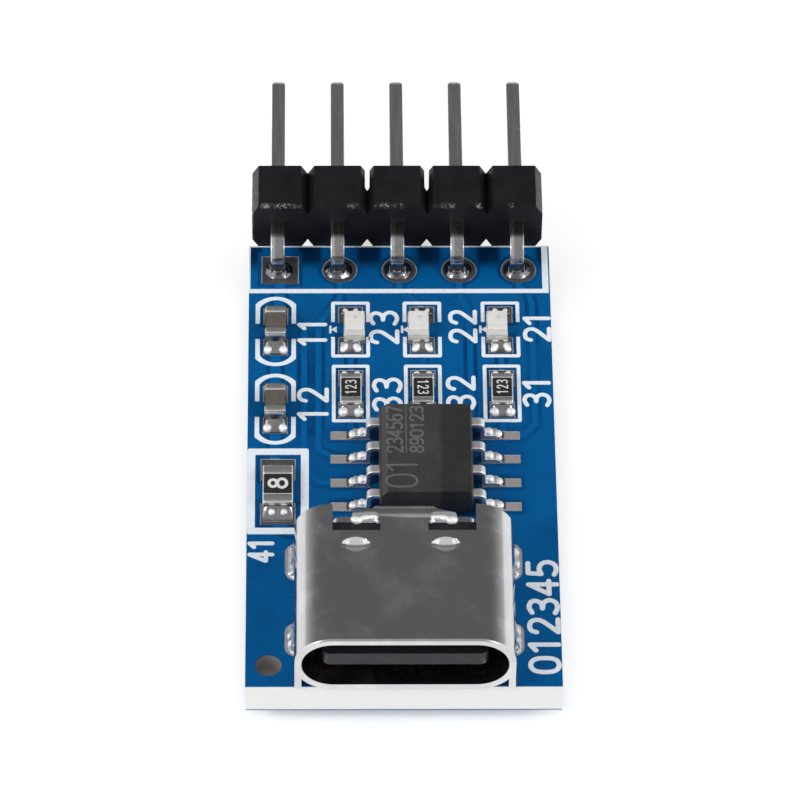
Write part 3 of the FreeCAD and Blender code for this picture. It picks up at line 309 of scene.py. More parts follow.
boardLook = {
    "mask": (0.0003, 0.1, 0.3),
    "maskDeep": (0.0003, 0.083, 0.258),
    "trackMask": (0.0004, 0.108, 0.325),
    "gapMask": (0.0003, 0.046, 0.155),
    # painted shade: dark patches between the pins, growing towards the housing
    "pinShade": (0.001, 0.02, 0.075),
    "pinShadeY": (6.35, 7.05),
    # painted shade: dark patches beside the chip; distances from its middle where they start and are full
    "chipShade": (0.001, 0.012, 0.045),
    "chipShadeX": (2.62, 2.25),
    "chipShadeY": (2.6, 2.35),
    "edge": (0.8, 0.8, 0.79),
    "edgeLayer": (0.74, 0.75, 0.73),
    "edgeFibre": (0.62, 0.63, 0.6),
    # painted shade on the wall of the tooling hole
    "holeWallShade": (0.27, 0.25, 0.23),
    "ink": (0.82, 0.87, 0.92),
    "inkWorn": (0.45, 0.6, 0.78),
    "hole": (-5.47, -14.79, 0.54),      # x, y and radius of the tooling hole
}


def betweenPins(paint):
    # 1 in line with a pin and -1 halfway between two pins
    return paint.math("COSINE", paint.times(paint.axis("X"), 2 * math.pi / pinPitch))


def makeMask(name, light, deep, paintedShade=False):
    paint = Paint(name)
    paint.set({"Specular IOR Level": 0.12})
    tone = paint.mix(paint.span(paint.noise(0.35, 4, 0.6), 0.35, 0.65), light, deep)
    if paintedShade:
        # painted shade on the board between the pins, in front of the housing
        pinShadePatch = paint.times(paint.span(betweenPins(paint), -0.05, -0.65),
                           paint.along("Y", *boardLook["pinShadeY"]))
        tone = paint.mix(paint.times(pinShadePatch, 0.92), tone, boardLook["pinShade"])
        # painted shade on the board beside the chip
        middle = middleOf("chip_body")
        besideChipShade = paint.times(paint.span(paint.awayAlong("X", middle.x), *boardLook["chipShadeX"]),
                            paint.span(paint.awayAlong("Y", middle.y), *boardLook["chipShadeY"]))
        tone = paint.mix(paint.times(besideChipShade, 0.85), tone, boardLook["chipShade"])
    paint.color(tone)
    paint.rough(paint.spread(paint.noise(3.0), 0.24, 0.36))
    weave = paint.times(paint.wave(1.6, "X", 0.6), paint.wave(1.6, "Y", 0.6))
    paint.bump(weave, 0.004, 0.5)
    paint.bump(paint.noise(9.0, 2), 0.003, 0.6)
    return paint.mat


def makeFibreglass():
    paint = Paint("fibreglass")
    paint.rough(0.62)
    layers = paint.span(paint.wave(1.7, "Z", 1.2), 0.35, 0.75)
    fibres = paint.noise(2.2, 4, 0.6, stretch=(6, 6, 1.2))
    tone = paint.mix(paint.times(layers, 0.25), boardLook["edge"], boardLook["edgeLayer"])
    tone = paint.mix(paint.span(fibres, 0.55, 0.8, 0.0, 0.3), tone, boardLook["edgeFibre"])
    # the wall of the tooling hole is painted darker, a painted shade inside the hole
    holeX, holeY, holeRadius = boardLook["hole"]
    holeShade = paint.span(paint.awayFrom(holeX, holeY), holeRadius + 0.12, holeRadius + 0.05)
    paint.color(paint.mix(holeShade, tone, boardLook["holeWallShade"]))
    paint.bump(layers, 0.002, 0.4)
    paint.bump(fibres, 0.01, 0.5)
    return paint.mat


def makeMetal(name, light, dark, roughLow, roughHigh, grain, lumps):
    paint = Paint(name, 1.0)
    cloud = paint.noise(grain, 2)
    paint.color(paint.mix(paint.spread(cloud), light, dark))
    paint.rough(paint.spread(paint.noise(grain * 2.3), roughLow, roughHigh))
    paint.bump(cloud, lumps, 0.6)
    return paint.mat


def makeInk():
    paint = Paint("legendInk")
    paint.rough(0.5)
    grain = paint.noise(7.0, 4, 0.6)
    worn = paint.span(grain, 0.45, 0.8, 0.0, 0.45)
    paint.color(paint.mix(worn, boardLook["ink"], boardLook["inkWorn"]))
    paint.bump(grain, 0.006, 0.7)
    return paint.mat


housingLook = {
    "tones": ((0.007, 0.007, 0.009), (0.011, 0.011, 0.014)),
    "rubbed": (0.34, 0.35, 0.38),
    "rough": (0.36, 0.5),
}


def makeHousingPlastic():
    paint = Paint("housingPlastic")
    paint.set({"Specular IOR Level": 0.2})
    low, high = boxMm("header_housing")
    tone = paint.mix(paint.spread(paint.noise(1.1)), *housingLook["tones"])
    # pale rubbed marks along the front top edge and down the left end
    frontEdge = paint.times(paint.along("Z", high.z - 0.16, high.z - 0.02),
                            paint.along("Y", low.y + 0.26, low.y + 0.03))
    along = paint.span(paint.noise(1.3, 2, stretch=(1, 0.2, 0.2), shift=(0.4, 0, 0)), 0.5, 0.6)
    fine = paint.span(paint.noise(9.0, 4, 0.7), 0.46, 0.62)
    rubbed = paint.times(paint.times(frontEdge, along), fine)
    leftEnd = paint.times(paint.along("X", low.x + 0.1, low.x + 0.01),
                          paint.span(paint.noise(2.6, 4, 0.6), 0.46, 0.58))
    marks = paint.math("MAXIMUM", rubbed, paint.times(leftEnd, fine))
    paint.color(paint.mix(marks, tone, housingLook["rubbed"]))
    paint.rough(paint.spread(paint.noise(4.0), *housingLook["rough"]))
    paint.bump(paint.noise(14.0, 3, 0.6), 0.006, 0.6)
    return paint.mat


pinLook = {
    "tones": ((0.58, 0.58, 0.58), (0.67, 0.67, 0.66)),
    # the next two tones are painted: a dark reflection along the middle and a shade near the solder
    "darkReflection": (0.25, 0.25, 0.25),
    "shadeNearSolder": (0.22, 0.21, 0.2),
    "cutEnd": (0.9, 0.89, 0.88),
    "rough": (0.14, 0.24),
}


def makePinMetal():
    paint = Paint("pinMetal", 1.0)
    tipY = boxMm("header_pin_1")[1].y
    streaks = paint.noise(1.0, 3, 0.55, stretch=(7, 0.35, 7))
    tone = paint.mix(paint.spread(streaks), *pinLook["tones"])
    cut = paint.along("Y", tipY - 0.3, tipY - 0.16)
    worn = paint.span(paint.noise(3.0, 3, 0.6), 0.68, 0.74)
    pale = paint.math("MAXIMUM", cut, paint.times(worn, 0.4))
    # in front of the housing the middle of the faces is painted darker, a painted dark reflection, and the
    # pins are painted darker near the solder, a painted shade
    housingFront = boxMm("header_housing")[0].y
    bend = paint.along("Y", housingFront + 0.02, housingFront - 0.1)
    darkReflection = paint.times(paint.span(betweenPins(paint), 0.8, 0.93), bend)
    tone = paint.mix(paint.times(darkReflection, 0.75), tone, pinLook["darkReflection"])
    shadeNearSolder = paint.along("Z", boardTop + 1.15, boardTop + 0.15, 0.0, 0.85)
    tone = paint.mix(shadeNearSolder, tone, pinLook["shadeNearSolder"])
    paint.color(paint.mix(pale, tone, pinLook["cutEnd"]))
    paint.rough(paint.math("ADD", paint.spread(streaks, *pinLook["rough"]), paint.times(pale, 0.35)))
    paint.bump(streaks, 0.002, 0.5)
    paint.bump(paint.noise(2.0, 2), 0.003, 0.5)
    return paint.mat


shellLook = {
    "steel": (0.53, 0.53, 0.54),
    "smudge": (0.7, 0.69, 0.68),
    "streak": (0.48, 0.48, 0.49),
    # painted highlight on the two dimples
    "polished": (0.96, 0.96, 0.96),
    "dimples": ((-1.925, -11.07), (1.705, -11.07)),
    "dimpleEdge": (0.44, 0.36),         # radii where the painted highlight starts and is full
}


def makeShellMetal():
    paint = Paint("shellMetal", 1.0)
    smudge = paint.span(paint.noise(0.55, 5, 0.65), 0.45, 0.7)
    streaks = paint.noise(1.0, stretch=(5, 0.5, 5))
    tone = paint.mix(paint.times(smudge, 0.6), shellLook["steel"], shellLook["smudge"])
    tone = paint.mix(paint.span(streaks, 0.4, 0.8, 0.0, 0.3), tone, shellLook["streak"])
    # the two dimples are painted lighter, a painted highlight
    dimpleHighlights = [paint.span(paint.awayFrom(x, y), *shellLook["dimpleEdge"]) for x, y in shellLook["dimples"]]
    paint.color(paint.mix(paint.math("MAXIMUM", *dimpleHighlights), tone, shellLook["polished"]))
    paint.rough(paint.math("ADD", paint.span(smudge, 0.0, 1.0, 0.11, 0.19), paint.spread(streaks, 0.0, 0.06)))
    paint.bump(paint.noise(0.5, 2, 0.4), 0.012, 0.6)
    paint.bump(streaks, 0.0012, 0.5)
    return paint.mat


tinLook = {
    # two tones, lowest and highest roughness, and for the pads grain, detail and depth of the lumps
    # the near-white bead tones are a painted highlight
    "bead": ((0.98, 0.98, 0.98), (0.92, 0.92, 0.93), 0.24, 0.36),
    "ends": ((0.84, 0.83, 0.81), (0.72, 0.7, 0.68), 0.24, 0.34),
    "pads": ((0.86, 0.8, 0.78), (0.68, 0.63, 0.62), 0.4, 0.52, 1.5, 3, 0.004),
    # painted shade: the end caps are darker below their rounded top; some of the pads are darker too
    "endShade": (0.17, 0.165, 0.16),
    "endShadeDepth": (0.13, 0.24),
    "padShade": (0.2, 0.2, 0.21),
    "rearY": (-1.98, -1.88),            # the header's and small parts' pads lie behind
    "fuseX": (-4.2, -4.3),
    "fuseY": (-8.2, -8.0),
}


def satin(paint, light, dark, roughLow, roughHigh, grain=2.0, detail=2, lumps=0.003):
    # one cloud sets the polish and the lumps, and gives back the tone
    cloud = paint.noise(grain, detail)
    paint.rough(paint.spread(cloud, roughLow, roughHigh))
    paint.bump(cloud, lumps, 0.5)
    return paint.mix(paint.spread(cloud), light, dark)


# a near-white, partly diffuse metal, much lighter than solder or rolled steel are: a painted highlight
def makeHighlightMetal(name):
    paint = Paint(name, 0.35)
    paint.color(satin(paint, *tinLook["bead"]))
    return paint.mat


def makeEndTin(name, node):
    paint = Paint(name, 1.0)
    start, full = [boxMm(node)[1].z - depth for depth in tinLook["endShadeDepth"]]
    # painted shade on the end caps below their rounded top
    low = paint.along("Z", start, full)
    paint.color(paint.mix(low, satin(paint, *tinLook["ends"]), tinLook["endShade"]))
    return paint.mat


def makePadTin():
    paint = Paint("padTin", 1.0)
    # the pads behind are painted darker, a painted dark reflection; some pads on the left, by the fuse, are
    # darker as well
    rear = paint.along("Y", *tinLook["rearY"])
    fuse = paint.times(paint.along("X", *tinLook["fuseX"]), paint.along("Y", *tinLook["fuseY"]))
    dark = paint.math("MAXIMUM", rear, fuse)
    paint.color(paint.mix(dark, satin(paint, *tinLook["pads"]), tinLook["padShade"]))
    return paint.mat


def makePlastic(name, color, other, rough, grain, depth, extras={}):
    paint = Paint(name)
    paint.set(extras)
    speck = paint.noise(grain, 4, 0.65)
    paint.color(paint.mix(paint.span(speck, 0.35, 0.7), color, other))
    paint.rough(paint.spread(paint.noise(grain * 0.3), rough - 0.05, rough + 0.06))
    paint.bump(speck, depth, 0.7)
    return paint.mat


chipLook = {
    "tones": ((0.026, 0.026, 0.027), (0.044, 0.044, 0.045)),
    "cloud": (0.048, 0.048, 0.049),
    "darkSide": (0.012, 0.012, 0.013),
    "darkSideX": (1.45, 1.75),             # the darker side starts here
}


def makeChipPlastic():
    # the top of the chip is a little darker on its +X side
    paint = Paint("chipPlastic")
    speck = paint.noise(16.0, 4, 0.65)
    cloud = paint.noise(1.6, 3, 0.6)
    tone = paint.mix(paint.span(speck, 0.35, 0.7), *chipLook["tones"])
    tone = paint.mix(paint.span(cloud, 0.4, 0.7, 0.0, 0.5), tone, chipLook["cloud"])
    darkSide = paint.along("X", *chipLook["darkSideX"], 0.0, 0.75)
    paint.color(paint.mix(darkSide, tone, chipLook["darkSide"]))
    paint.rough(paint.spread(cloud, 0.4, 0.52))
    paint.bump(speck, 0.006, 0.7)
    return paint.mat


finish = {
    "mask": makeMask("blueMask", boardLook["mask"], boardLook["maskDeep"], True),
    "trackMask": makeMask("blueMaskOnCopper", boardLook["trackMask"], boardLook["mask"]),
    "gapMask": makeMask("blueMaskInGaps", boardLook["gapMask"], boardLook["maskDeep"]),
    "fibreglass": makeFibreglass(),
    "ink": makeInk(),
    "padTin": makePadTin(),
    "bead": makeHighlightMetal("solderBeadHighlight"),
    "rolledSteelHighlight": makeHighlightMetal("rolledSteelHighlight"),
    "resistorEnd": makeEndTin("resistorEnd", "resistor_1_end_caps"),
    "capacitorEnd": makeEndTin("capacitorEnd", "capacitor_1_end_caps"),
    "fuseEnd": makeEndTin("fuseEnd", "fuse_end_caps"),
    "pinMetal": makePinMetal(),
    "shellMetal": makeShellMetal(),
    "housing": makeHousingPlastic(),
    "chip": makeChipPlastic(),
}
plainMetals = {
    # two tones, lowest and highest roughness, grain, depth of the lumps
    "pinSolder": ((0.24, 0.24, 0.25), (0.16, 0.16, 0.17), 0.08, 0.16, 1.2, 0.005),
    "legSolder": ((0.86, 0.86, 0.85), (0.78, 0.78, 0.77), 0.28, 0.4, 1.5, 0.004),
    "solder": ((0.42, 0.42, 0.43), (0.28, 0.28, 0.29), 0.14, 0.24, 1.2, 0.004),
    "leadTin": ((0.94, 0.94, 0.94), (0.88, 0.88, 0.89), 0.36, 0.46, 1.6, 0.003),
    "landTin": ((0.84, 0.83, 0.81), (0.72, 0.7, 0.68), 0.24, 0.34, 2.0, 0.003),
    "contactGold": ((0.86, 0.66, 0.32), (0.74, 0.55, 0.26), 0.2, 0.34, 4.0, 0.003),
    "midPlate": ((0.52, 0.52, 0.52), (0.42, 0.42, 0.43), 0.26, 0.4, 4.0, 0.003),
}
plainPlastics = {
    # two tones, roughness, grain, depth of the grain, other settings
    "insulator": ((0.01, 0.01, 0.014), (0.016, 0.016, 0.021), 0.42, 10.0, 0.003,
                  {"Specular IOR Level": 0.28}),
    "lens": ((0.83, 0.82, 0.8), (0.76, 0.75, 0.72), 0.22, 5.0, 0.003,
             {"Transmission Weight": 0.08, "IOR": 1.5, "Coat Weight": 0.4, "Coat Roughness": 0.12}),
    "silicon": ((0.1, 0.1, 0.13), (0.08, 0.08, 0.11), 0.2, 6.0, 0.001),
    "ledBase": ((0.74, 0.73, 0.66), (0.66, 0.65, 0.58), 0.5, 8.0, 0.003),
    "ledDie": ((0.7, 0.52, 0.12), (0.55, 0.4, 0.1), 0.3, 8.0, 0.002),
    "dieSpot": ((0.5, 0.49, 0.46), (0.62, 0.61, 0.57), 0.3, 8.0, 0.002),
    "whiteCeramic": ((0.78, 0.78, 0.76), (0.68, 0.68, 0.66), 0.45, 9.0, 0.004),
    "overcoat": ((0.016, 0.016, 0.016), (0.026, 0.026, 0.026), 0.28, 8.0, 0.006),
    "capCeramic": ((0.12, 0.105, 0.088), (0.088, 0.076, 0.062), 0.34, 5.0, 0.004),
    "markInk": ((0.76, 0.76, 0.74), (0.6, 0.6, 0.59), 0.55, 10.0, 0.003),
    "laserMark": ((0.125, 0.125, 0.122), (0.085, 0.085, 0.083), 0.6, 12.0, 0.004),
}
for name, look in plainMetals.items():
    finish[name] = makeMetal(name, *look)
for name, look in plainPlastics.items():
    finish[name] = makePlastic(name, *look)

# what the names of a material's nodes start with
nodeFinish = {
    "fibreglass": ["board_core"], "mask": ["board_top_mask", "board_bottom_mask"], "padTin": ["board_pads"],
    "trackMask": ["board_traces"], "ink": ["board_legend"], "housing": ["header_housing"],
    "pinMetal": ["header_pin"], "pinSolder": ["header_solder"], "shellMetal": ["socket_shell"],
    "insulator": ["socket_insulator"], "midPlate": ["socket_mid_plate", "chip_die_pad"],
    "contactGold": ["socket_upper", "socket_lower", "chip_bond"], "legSolder": ["socket_leg_solder"],
    "solder": ["socket_tail_solder", "chip_solder", "small_part_solder"], "chip": ["chip_body"],
    "leadTin": ["chip_left", "chip_right"], "silicon": ["chip_die"], "fuseEnd": ["fuse_end"],
    "capacitorEnd": ["capacitor_1_end", "capacitor_2_end"], "capCeramic": ["capacitor_"],
}
# and for the other small parts, what they end with
partFinish = {
    "ledBase": "base", "landTin": "lands", "ledDie": "die", "lens": "lens", "overcoat": "overcoat",
    "resistorEnd": "end_caps", "whiteCeramic": "ceramic",
}


def finishOf(name):
    keys = [key for key, starts in nodeFinish.items() if name.startswith(tuple(starts))]
    keys += [key for key, end in partFinish.items() if name.endswith(end)]
    return finish[keys[0]]


for name, obj in nodes.items():
    obj.material_slots[0].material = finishOf(name)


def addPiece(name, mesh, material, slotName, *replaced):
    mesh.materials.clear()
    mesh.materials.append(material)
    piece = bpy.data.objects.new(name, mesh)
    scene.collection.objects.link(piece)
    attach(piece, "root")
    if replaced:
        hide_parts(*replaced)


def meshOf(build, name):
    mesh = bpy.data.meshes.new(name)
    build.to_mesh(mesh)
    build.free()
    return mesh


def workObject(mesh):
    obj = bpy.data.objects.new("work", mesh)
    scene.collection.objects.link(obj)
    return obj


def inMetres(mesh):
    mesh.transform(Matrix.Scale(mm, 4))
    return mesh


def bakeModifiers(obj):
    # the object's mesh as its modifiers leave it; the object itself goes
    depsgraph = bpy.context.evaluated_depsgraph_get()
    mesh = bpy.data.meshes.new_from_object(obj.evaluated_get(depsgraph))
    bpy.data.objects.remove(obj)
    return mesh


def workCopy(node):
    # the node's mesh in millimetres, with its flat faces cleaned up
    mesh = nodes[node].data.copy()
    mesh.transform(Matrix.Scale(1 / mm, 4))
    build = bmesh.new()
    build.from_mesh(mesh)
    bmesh.ops.remove_doubles(build, verts=build.verts, dist=0.0002)
    bmesh.ops.dissolve_limit(build, angle_limit=math.radians(0.8), verts=build.verts, edges=build.edges)
    build.to_mesh(mesh)
    build.free()
    return workObject(mesh)


def modify(obj, kind, **settings):
    made = obj.modifiers.new(kind.lower(), kind)
    for key, value in settings.items():
        setattr(made, key, value)


def easedCopy(node, name, slotName, width, segments, angle=32, reshape=None):
    # the node with its sharp edges eased, as moulded, stamped or plated edges are
    obj = workCopy(node)
    if reshape:
        reshape(obj.data)
    for face in obj.data.polygons:
        face.use_smooth = True
    modify(obj, "BEVEL", width=width, segments=segments, limit_method="ANGLE",
           angle_limit=math.radians(angle), use_clamp_overlap=True, miter_outer="MITER_ARC")
    modify(obj, "WEIGHTED_NORMAL", keep_sharp=False)
    addPiece(name, inMetres(bakeModifiers(obj)), finishOf(node), slotName, node)


def melt(obj, voxel, rounds, lump):
    # the object's mesh as solder would leave it: no sharp edge, and slightly uneven
    modify(obj, "REMESH", mode="VOXEL", voxel_size=voxel)
    modify(obj, "SMOOTH", factor=0.5, iterations=rounds)
    mesh = bakeModifiers(obj)
    pushed = [vert.co + vert.normal * noise.noise(vert.co * 3.1) * lump for vert in mesh.vertices]
    mesh.vertices.foreach_set("co", [value for spot in pushed for value in spot])
    mesh.shade_smooth()
    return inMetres(mesh)


def meltedBeads(build, voxel, rounds, lump):
    return melt(workObject(meshOf(build, "beads")), voxel, rounds, lump)


def meltedCopy(node, name, slotName, voxel, rounds, lump):
    addPiece(name, melt(workCopy(node), voxel, rounds, lump), finishOf(node), slotName, node)


def drop(build, spot, radii, slant=0):
    # a rounded bead of solder
    made = bmesh.ops.create_icosphere(build, subdivisions=3, radius=1.0)
    spin = Matrix.Rotation(math.radians(slant), 3, "Z")
    for vert in made["verts"]:
        uneven = 1 + noise.noise(vert.co * 1.2 + Vector(spot) * 3) * 0.12
        vert.co = Vector(spot) + spin @ Vector([a * b * uneven for a, b in zip(vert.co, radii)])


def covers(ring, spot):
    # whether a convex ring holds the spot
    return all((b.x - a.x) * (spot.y - a.y) > (b.y - a.y) * (spot.x - a.x)
               for a, b in zip(ring, ring[1:] + ring[:1]))


def flatUnion(shapes, gaps):
    # one flat sheet that covers the shapes and leaves the gaps free; all in millimetres
    points = []
    faces = []
    for shape in shapes + gaps:
        area = sum(a[0] * b[1] - b[0] * a[1] for a, b in zip(shape, shape[1:] + shape[:1]))
        ordered = shape if area > 0 else shape[::-1]
        faces.append(list(range(len(points), len(points) + len(ordered))))
        points += [Vector(p) for p in ordered]
    spots, _, triangles = delaunay_2d_cdt(points, [], faces, 0, 0.00001)[:3]
    rings = [[points[i] for i in face] for face in faces]
    wanted, unwanted = rings[:len(shapes)], rings[len(shapes):]
    kept = []
    for face in triangles:
        middle = sum((spots[i] for i in face), Vector((0, 0))) / len(face)
        inside = any(covers(ring, middle) for ring in wanted)
        if inside and not any(covers(ring, middle) for ring in unwanted):
            kept.append(face)
    return spots, kept


def spanOf(shapes):
    xs = [p[0] for shape in shapes for p in shape]
    ys = [p[1] for shape in shapes for p in shape]
    return min(xs), max(xs), min(ys), max(ys)


def nearBy(gaps, shapes):
    x0, x1, y0, y1 = spanOf(shapes)
    spans = [(gap, spanOf([gap])) for gap in gaps]
    return [gap for gap, (g0, g1, h0, h1) in spans if g1 > x0 and g0 < x1 and h1 > y0 and h0 < y1]


def raisedSheet(name, groups, gaps, low, high, material, slotName, *replaced):
    # each group of shapes becomes one thin plate; later groups stand a hair higher
    build = bmesh.new()
    for number, shapes in enumerate(groups):
        points, faces = flatUnion(shapes, nearBy(gaps, shapes))
        used = sorted({i for face in faces for i in face})
        foot, roof = [{i: build.verts.new((*points[i], z)) for i in used}
                      for z in (low, high + number * plateStep)]
        sides = [pair for face in faces for pair in zip(face, face[1:] + face[:1])]
        uses = Counter(frozenset(pair) for pair in sides)
        for face in faces:
            build.faces.new([foot[i] for i in reversed(face)])
            build.faces.new([roof[i] for i in face])
        for a, b in sides:
            if uses[frozenset((a, b))] == 1:
                build.faces.new((foot[a], foot[b], roof[b], roof[a]))
    build.normal_update()
    bmesh.ops.dissolve_limit(build, angle_limit=0.01, verts=build.verts, edges=build.edges)
    bmesh.ops.recalc_face_normals(build, faces=build.faces)
    bmesh.ops.triangulate(build, faces=[f for f in build.faces if len(f.verts) > 4])
    addPiece(name, inMetres(meshOf(build, name)), material, slotName, *replaced)


def disc(x, y, radius, count=12):
    angles = [0.21 + 2 * math.pi * i / count for i in range(count)]
    return [(x + radius * math.cos(angle), y + radius * math.sin(angle)) for angle in angles]


def block(x0, x1, y0, y1):
    return [(x0, y0), (x1, y0), (x1, y1), (x0, y1)]


def strokeShapes(path, width):
    # a thick line as a row of rectangles with round joints
    shapes = []
    half = width / 2
    for a, b in zip(path, path[1:]):
        along = Vector((b[0] - a[0], b[1] - a[1]))
        if along.length < 1e-6:
            continue
        side = Vector((-along.y, along.x)).normalized() * half
        corners = ((a, -1), (b, -1), (b, 1), (a, 1))
        shapes.append([(p[0] + way * side.x, p[1] + way * side.y) for p, way in corners])
    inner = [disc(p[0], p[1], half, 8 if len(path) > 4 else 12) for p in path[1:-1]]
    return shapes + inner + [disc(p[0], p[1], half) for p in (path[0], path[-1])]


def smoothPath(points, steps=4):
    # a rounded line through all the points
    line = []
    last = len(points) - 1
    for i in range(last):
        p0, p1, p2, p3 = [Vector(points[min(max(i + k, 0), last)]) for k in (-1, 0, 1, 2)]
        for k in range(steps):
            t = k / steps
            line.append(tuple(0.5 * (2 * p1 + (p2 - p0) * t + (2 * p0 - 5 * p1 + 4 * p2 - p3) * t * t
                                     + (3 * p1 - p0 - 3 * p2 + p3) * t ** 3)))
    return line + [tuple(points[last])]


# Plain digits drawn with a round pen, in a box 0.6 wide and 1 high; a rounded stroke is marked True.
digitStrokes = {
    "0": [(True, [(.3, 0), (.1, .08), (0, .3), (0, .7), (.1, .92), (.3, 1), (.5, .92), (.6, .7),
                  (.6, .3), (.5, .08), (.3, 0)])],
    "1": [(False, [(.08, .8), (.34, 1), (.34, 0)])],
    "2": [(True, [(.02, .76), (.1, .94), (.3, 1), (.5, .94), (.58, .76), (.5, .52), (.02, 0)]),
          (False, [(.02, 0), (.6, 0)])],
    "3": [(True, [(.03, .9), (.28, 1), (.52, .92), (.56, .74), (.44, .57), (.22, .53)]),
          (True, [(.22, .53), (.48, .48), (.6, .28), (.5, .07), (.26, 0), (.01, .09)])],
    "4": [(False, [(.44, 0), (.44, 1), (0, .28), (.6, .28)])],
    "5": [(False, [(.54, 1), (.08, 1), (.04, .54)]),
          (True, [(.04, .54), (.28, .61), (.5, .52), (.59, .31), (.49, .08), (.25, 0), (.01, .08)])],
    "6": [(True, [(.52, .94), (.34, 1), (.14, .9), (.02, .62), (.02, .28), (.12, .06), (.31, 0), (.5, .06),
                  (.59, .29), (.5, .52), (.31, .59), (.12, .5), (.02, .3)])],
    "7": [(False, [(0, 1), (.6, 1), (.2, 0)])],
    "8": [(True, [(.3, .54), (.1, .64), (.06, .8), (.14, .95), (.3, 1), (.46, .95), (.54, .8),
                  (.5, .64), (.3, .54)]),
          (True, [(.3, .54), (.08, .44), (0, .25), (.1, .06), (.3, 0), (.5, .06), (.6, .25),
                  (.52, .44), (.3, .54)])],
    "9": [(True, [(.08, .06), (.26, 0), (.46, .1), (.58, .38), (.58, .72), (.48, .94), (.29, 1), (.1, .94),
                  (.01, .71), (.1, .48), (.29, .41), (.48, .5), (.58, .7)])],
}


def digitShapes(text, corner, height, width, pen, step, turn=90):
    # text starts at corner and runs along turn (degrees from +X); step is the advance of one digit
    groups = []
    spin = Matrix.Rotation(math.radians(turn), 2)
    for place, letter in enumerate(text):
        shapes = []
        for rounded, points in digitStrokes[letter]:
            line = smoothPath(points) if rounded else points
            turned = [spin @ Vector((place * step + u / 0.6 * width, v * height)) for u, v in line]
            shapes += strokeShapes([(corner[0] + p.x, corner[1] + p.y) for p in turned], pen)
        groups.append(shapes)
    return groups

print("board: tracks and printed digits")

trackSet = {
    "fine": 0.25,
    "wide": 0.45,
    "gap": 0.17,        # bare margin on each side of a track
    "rise": 0.01,
    "gapRise": 0.001,
    "depth": 0.03,     # how far the sheets reach down into the mask
    "padMargin": 0.055,
    "padGap": 0.2,
    # where the socket's legs and tails stand: x from its middle, rows and half sizes; then a block
    "legs": (4.32, (-13.47, -9.47), 0.55, 1.0),
    "tails": (-3.6, 3.7, -9.6, -8.05),
}
padSet = {
    "firstPin": 0.75,       # half the side of the square pad
    "otherPins": 0.71,      # radius
    # inner end, outer end and width
    "small": (0.42, 1.28, 0.96),
    "fuse": (0.62, 1.72, 1.36),
    "chip": (2.36, 3.895, 0.4),
}


def trackRoutes():
    # points of fine and wide tracks, each (x, distance from the back edge)
    rows = [chipRow + leadPitch * (i - 1.5) for i in range(4)]      # the chip's leads
    fine = [[(x, 5.42), (x, 7.51)] for x in columnX]
    fine += [
        [(pinX[2], pinRow), (pinX[2], 2.45), (columnX[1], 3.4), (columnX[1], 4.28)],
        [(pinX[3], pinRow), (pinX[3], 2.2), (2.62, 3.0), (2.95, 3.7), (2.95, 9.4), (2.55, 9.9), (2.55, 11.3),
         (3.35, rows[1])],
        [(pinX[4], pinRow), (pinX[4], 2.3), (5.5, 2.7), (5.6, 3.3), (5.6, 9.9), (5.1, rows[0]),
         (4.6, rows[0])],
        [(pinX[1], pinRow), (pinX[1], 3.0), (-3.45, 4.4), (-3.45, 11.3), (-2.6, rows[1])],
        [(columnX[0], 8.95), (columnX[0], rows[0])],
        [(columnX[2], 8.95), (columnX[2], rows[0])],
        [(-4.95, 4.08), (-4.5, 4.1), (-4.05, 4.7), (-4.05, 12.3), (-3.4, rows[2]), (-2.6, rows[2])],
        [(-0.71, 16.18), (-0.71, 15.2), (-1.66, rows[3])],
        [(0.29, 16.18), (0.29, 14.2), (-0.45, 13.3), (-1.66, rows[2])],
    ]
    wide = [
        [(pinX[0], pinRow), (pinX[0], 2.9), (capacitorX, 4.08)],
        [(capacitorX, 5.52), (capacitorX, 8.36)],
        [(capacitorX, 9.8), (capacitorX, 12.88)],
        [(fuseX, 14.42), (fuseX, 15.3), (-4.7, 15.65), (-3.0, 15.65), (-2.4, 15.9), (-2.4, 16.18)],
    ]
    return [("fine", line) for line in fine] + [("wide", line) for line in wide]


def padShapes(grow):
    # openings in the mask, as the cad has them, grown by the given margin
    half = padSet["firstPin"] + grow
    y = backY - pinRow
    shapes = [block(pinX[0] - half, pinX[0] + half, y - half, y + half)]
    shapes += [disc(x, y, padSet["otherPins"] + grow, 32) for x in pinX[1:]]
    ends = [(x, row, padSet["small"]) for x in columnX for row in (ledRow, resistorRow)]
    ends += [(capacitorX, row, padSet["small"]) for row in capacitorRows] + [(fuseX, fuseRow, padSet["fuse"])]
    for x, row, (inner, outer, width) in ends:
        for side in (-1, 1):
            y0, y1 = sorted((backY - row + side * inner, backY - row + side * outer))
            shapes.append(block(x - width / 2 - grow, x + width / 2 + grow, y0 - grow, y1 + grow))
    inner, outer, width = padSet["chip"]
    for side in (-1, 1):
        x0, x1 = sorted((chipX + side * inner, chipX + side * outer))
        shapes += [block(x0 - grow, x1 + grow, y - width / 2 - grow, y + width / 2 + grow) for y in leadY]
    return shapes


def dressTracks():
    tracks = []
    halos = []
    for kind, line in trackRoutes():
        width = trackSet[kind]
        path = [(x, backY - away) for x, away in line]
        tracks.append(strokeShapes(path, width))
        halos.append(strokeShapes(path, width + 2 * trackSet["gap"]))
    out, rows, halfX, halfY = trackSet["legs"]
    legs = [block(side * out + socketX - halfX, side * out + socketX + halfX, y - halfY, y + halfY)
            for side in (-1, 1) for y in rows]
    holes = padShapes(trackSet["padMargin"]) + legs + [block(*trackSet["tails"])]
    halos += [[shape] for shape in padShapes(trackSet["padGap"])]
    low = boardTop - trackSet["depth"]
    raisedSheet("copperGaps", halos, holes + sum(tracks, []), low, boardTop + trackSet["gapRise"],
                finish["gapMask"], "board_mask")
    raisedSheet("coveredTracks", tracks, holes, low, boardTop + trackSet["rise"],
                finish["trackMask"], "board_copper", "board_traces")


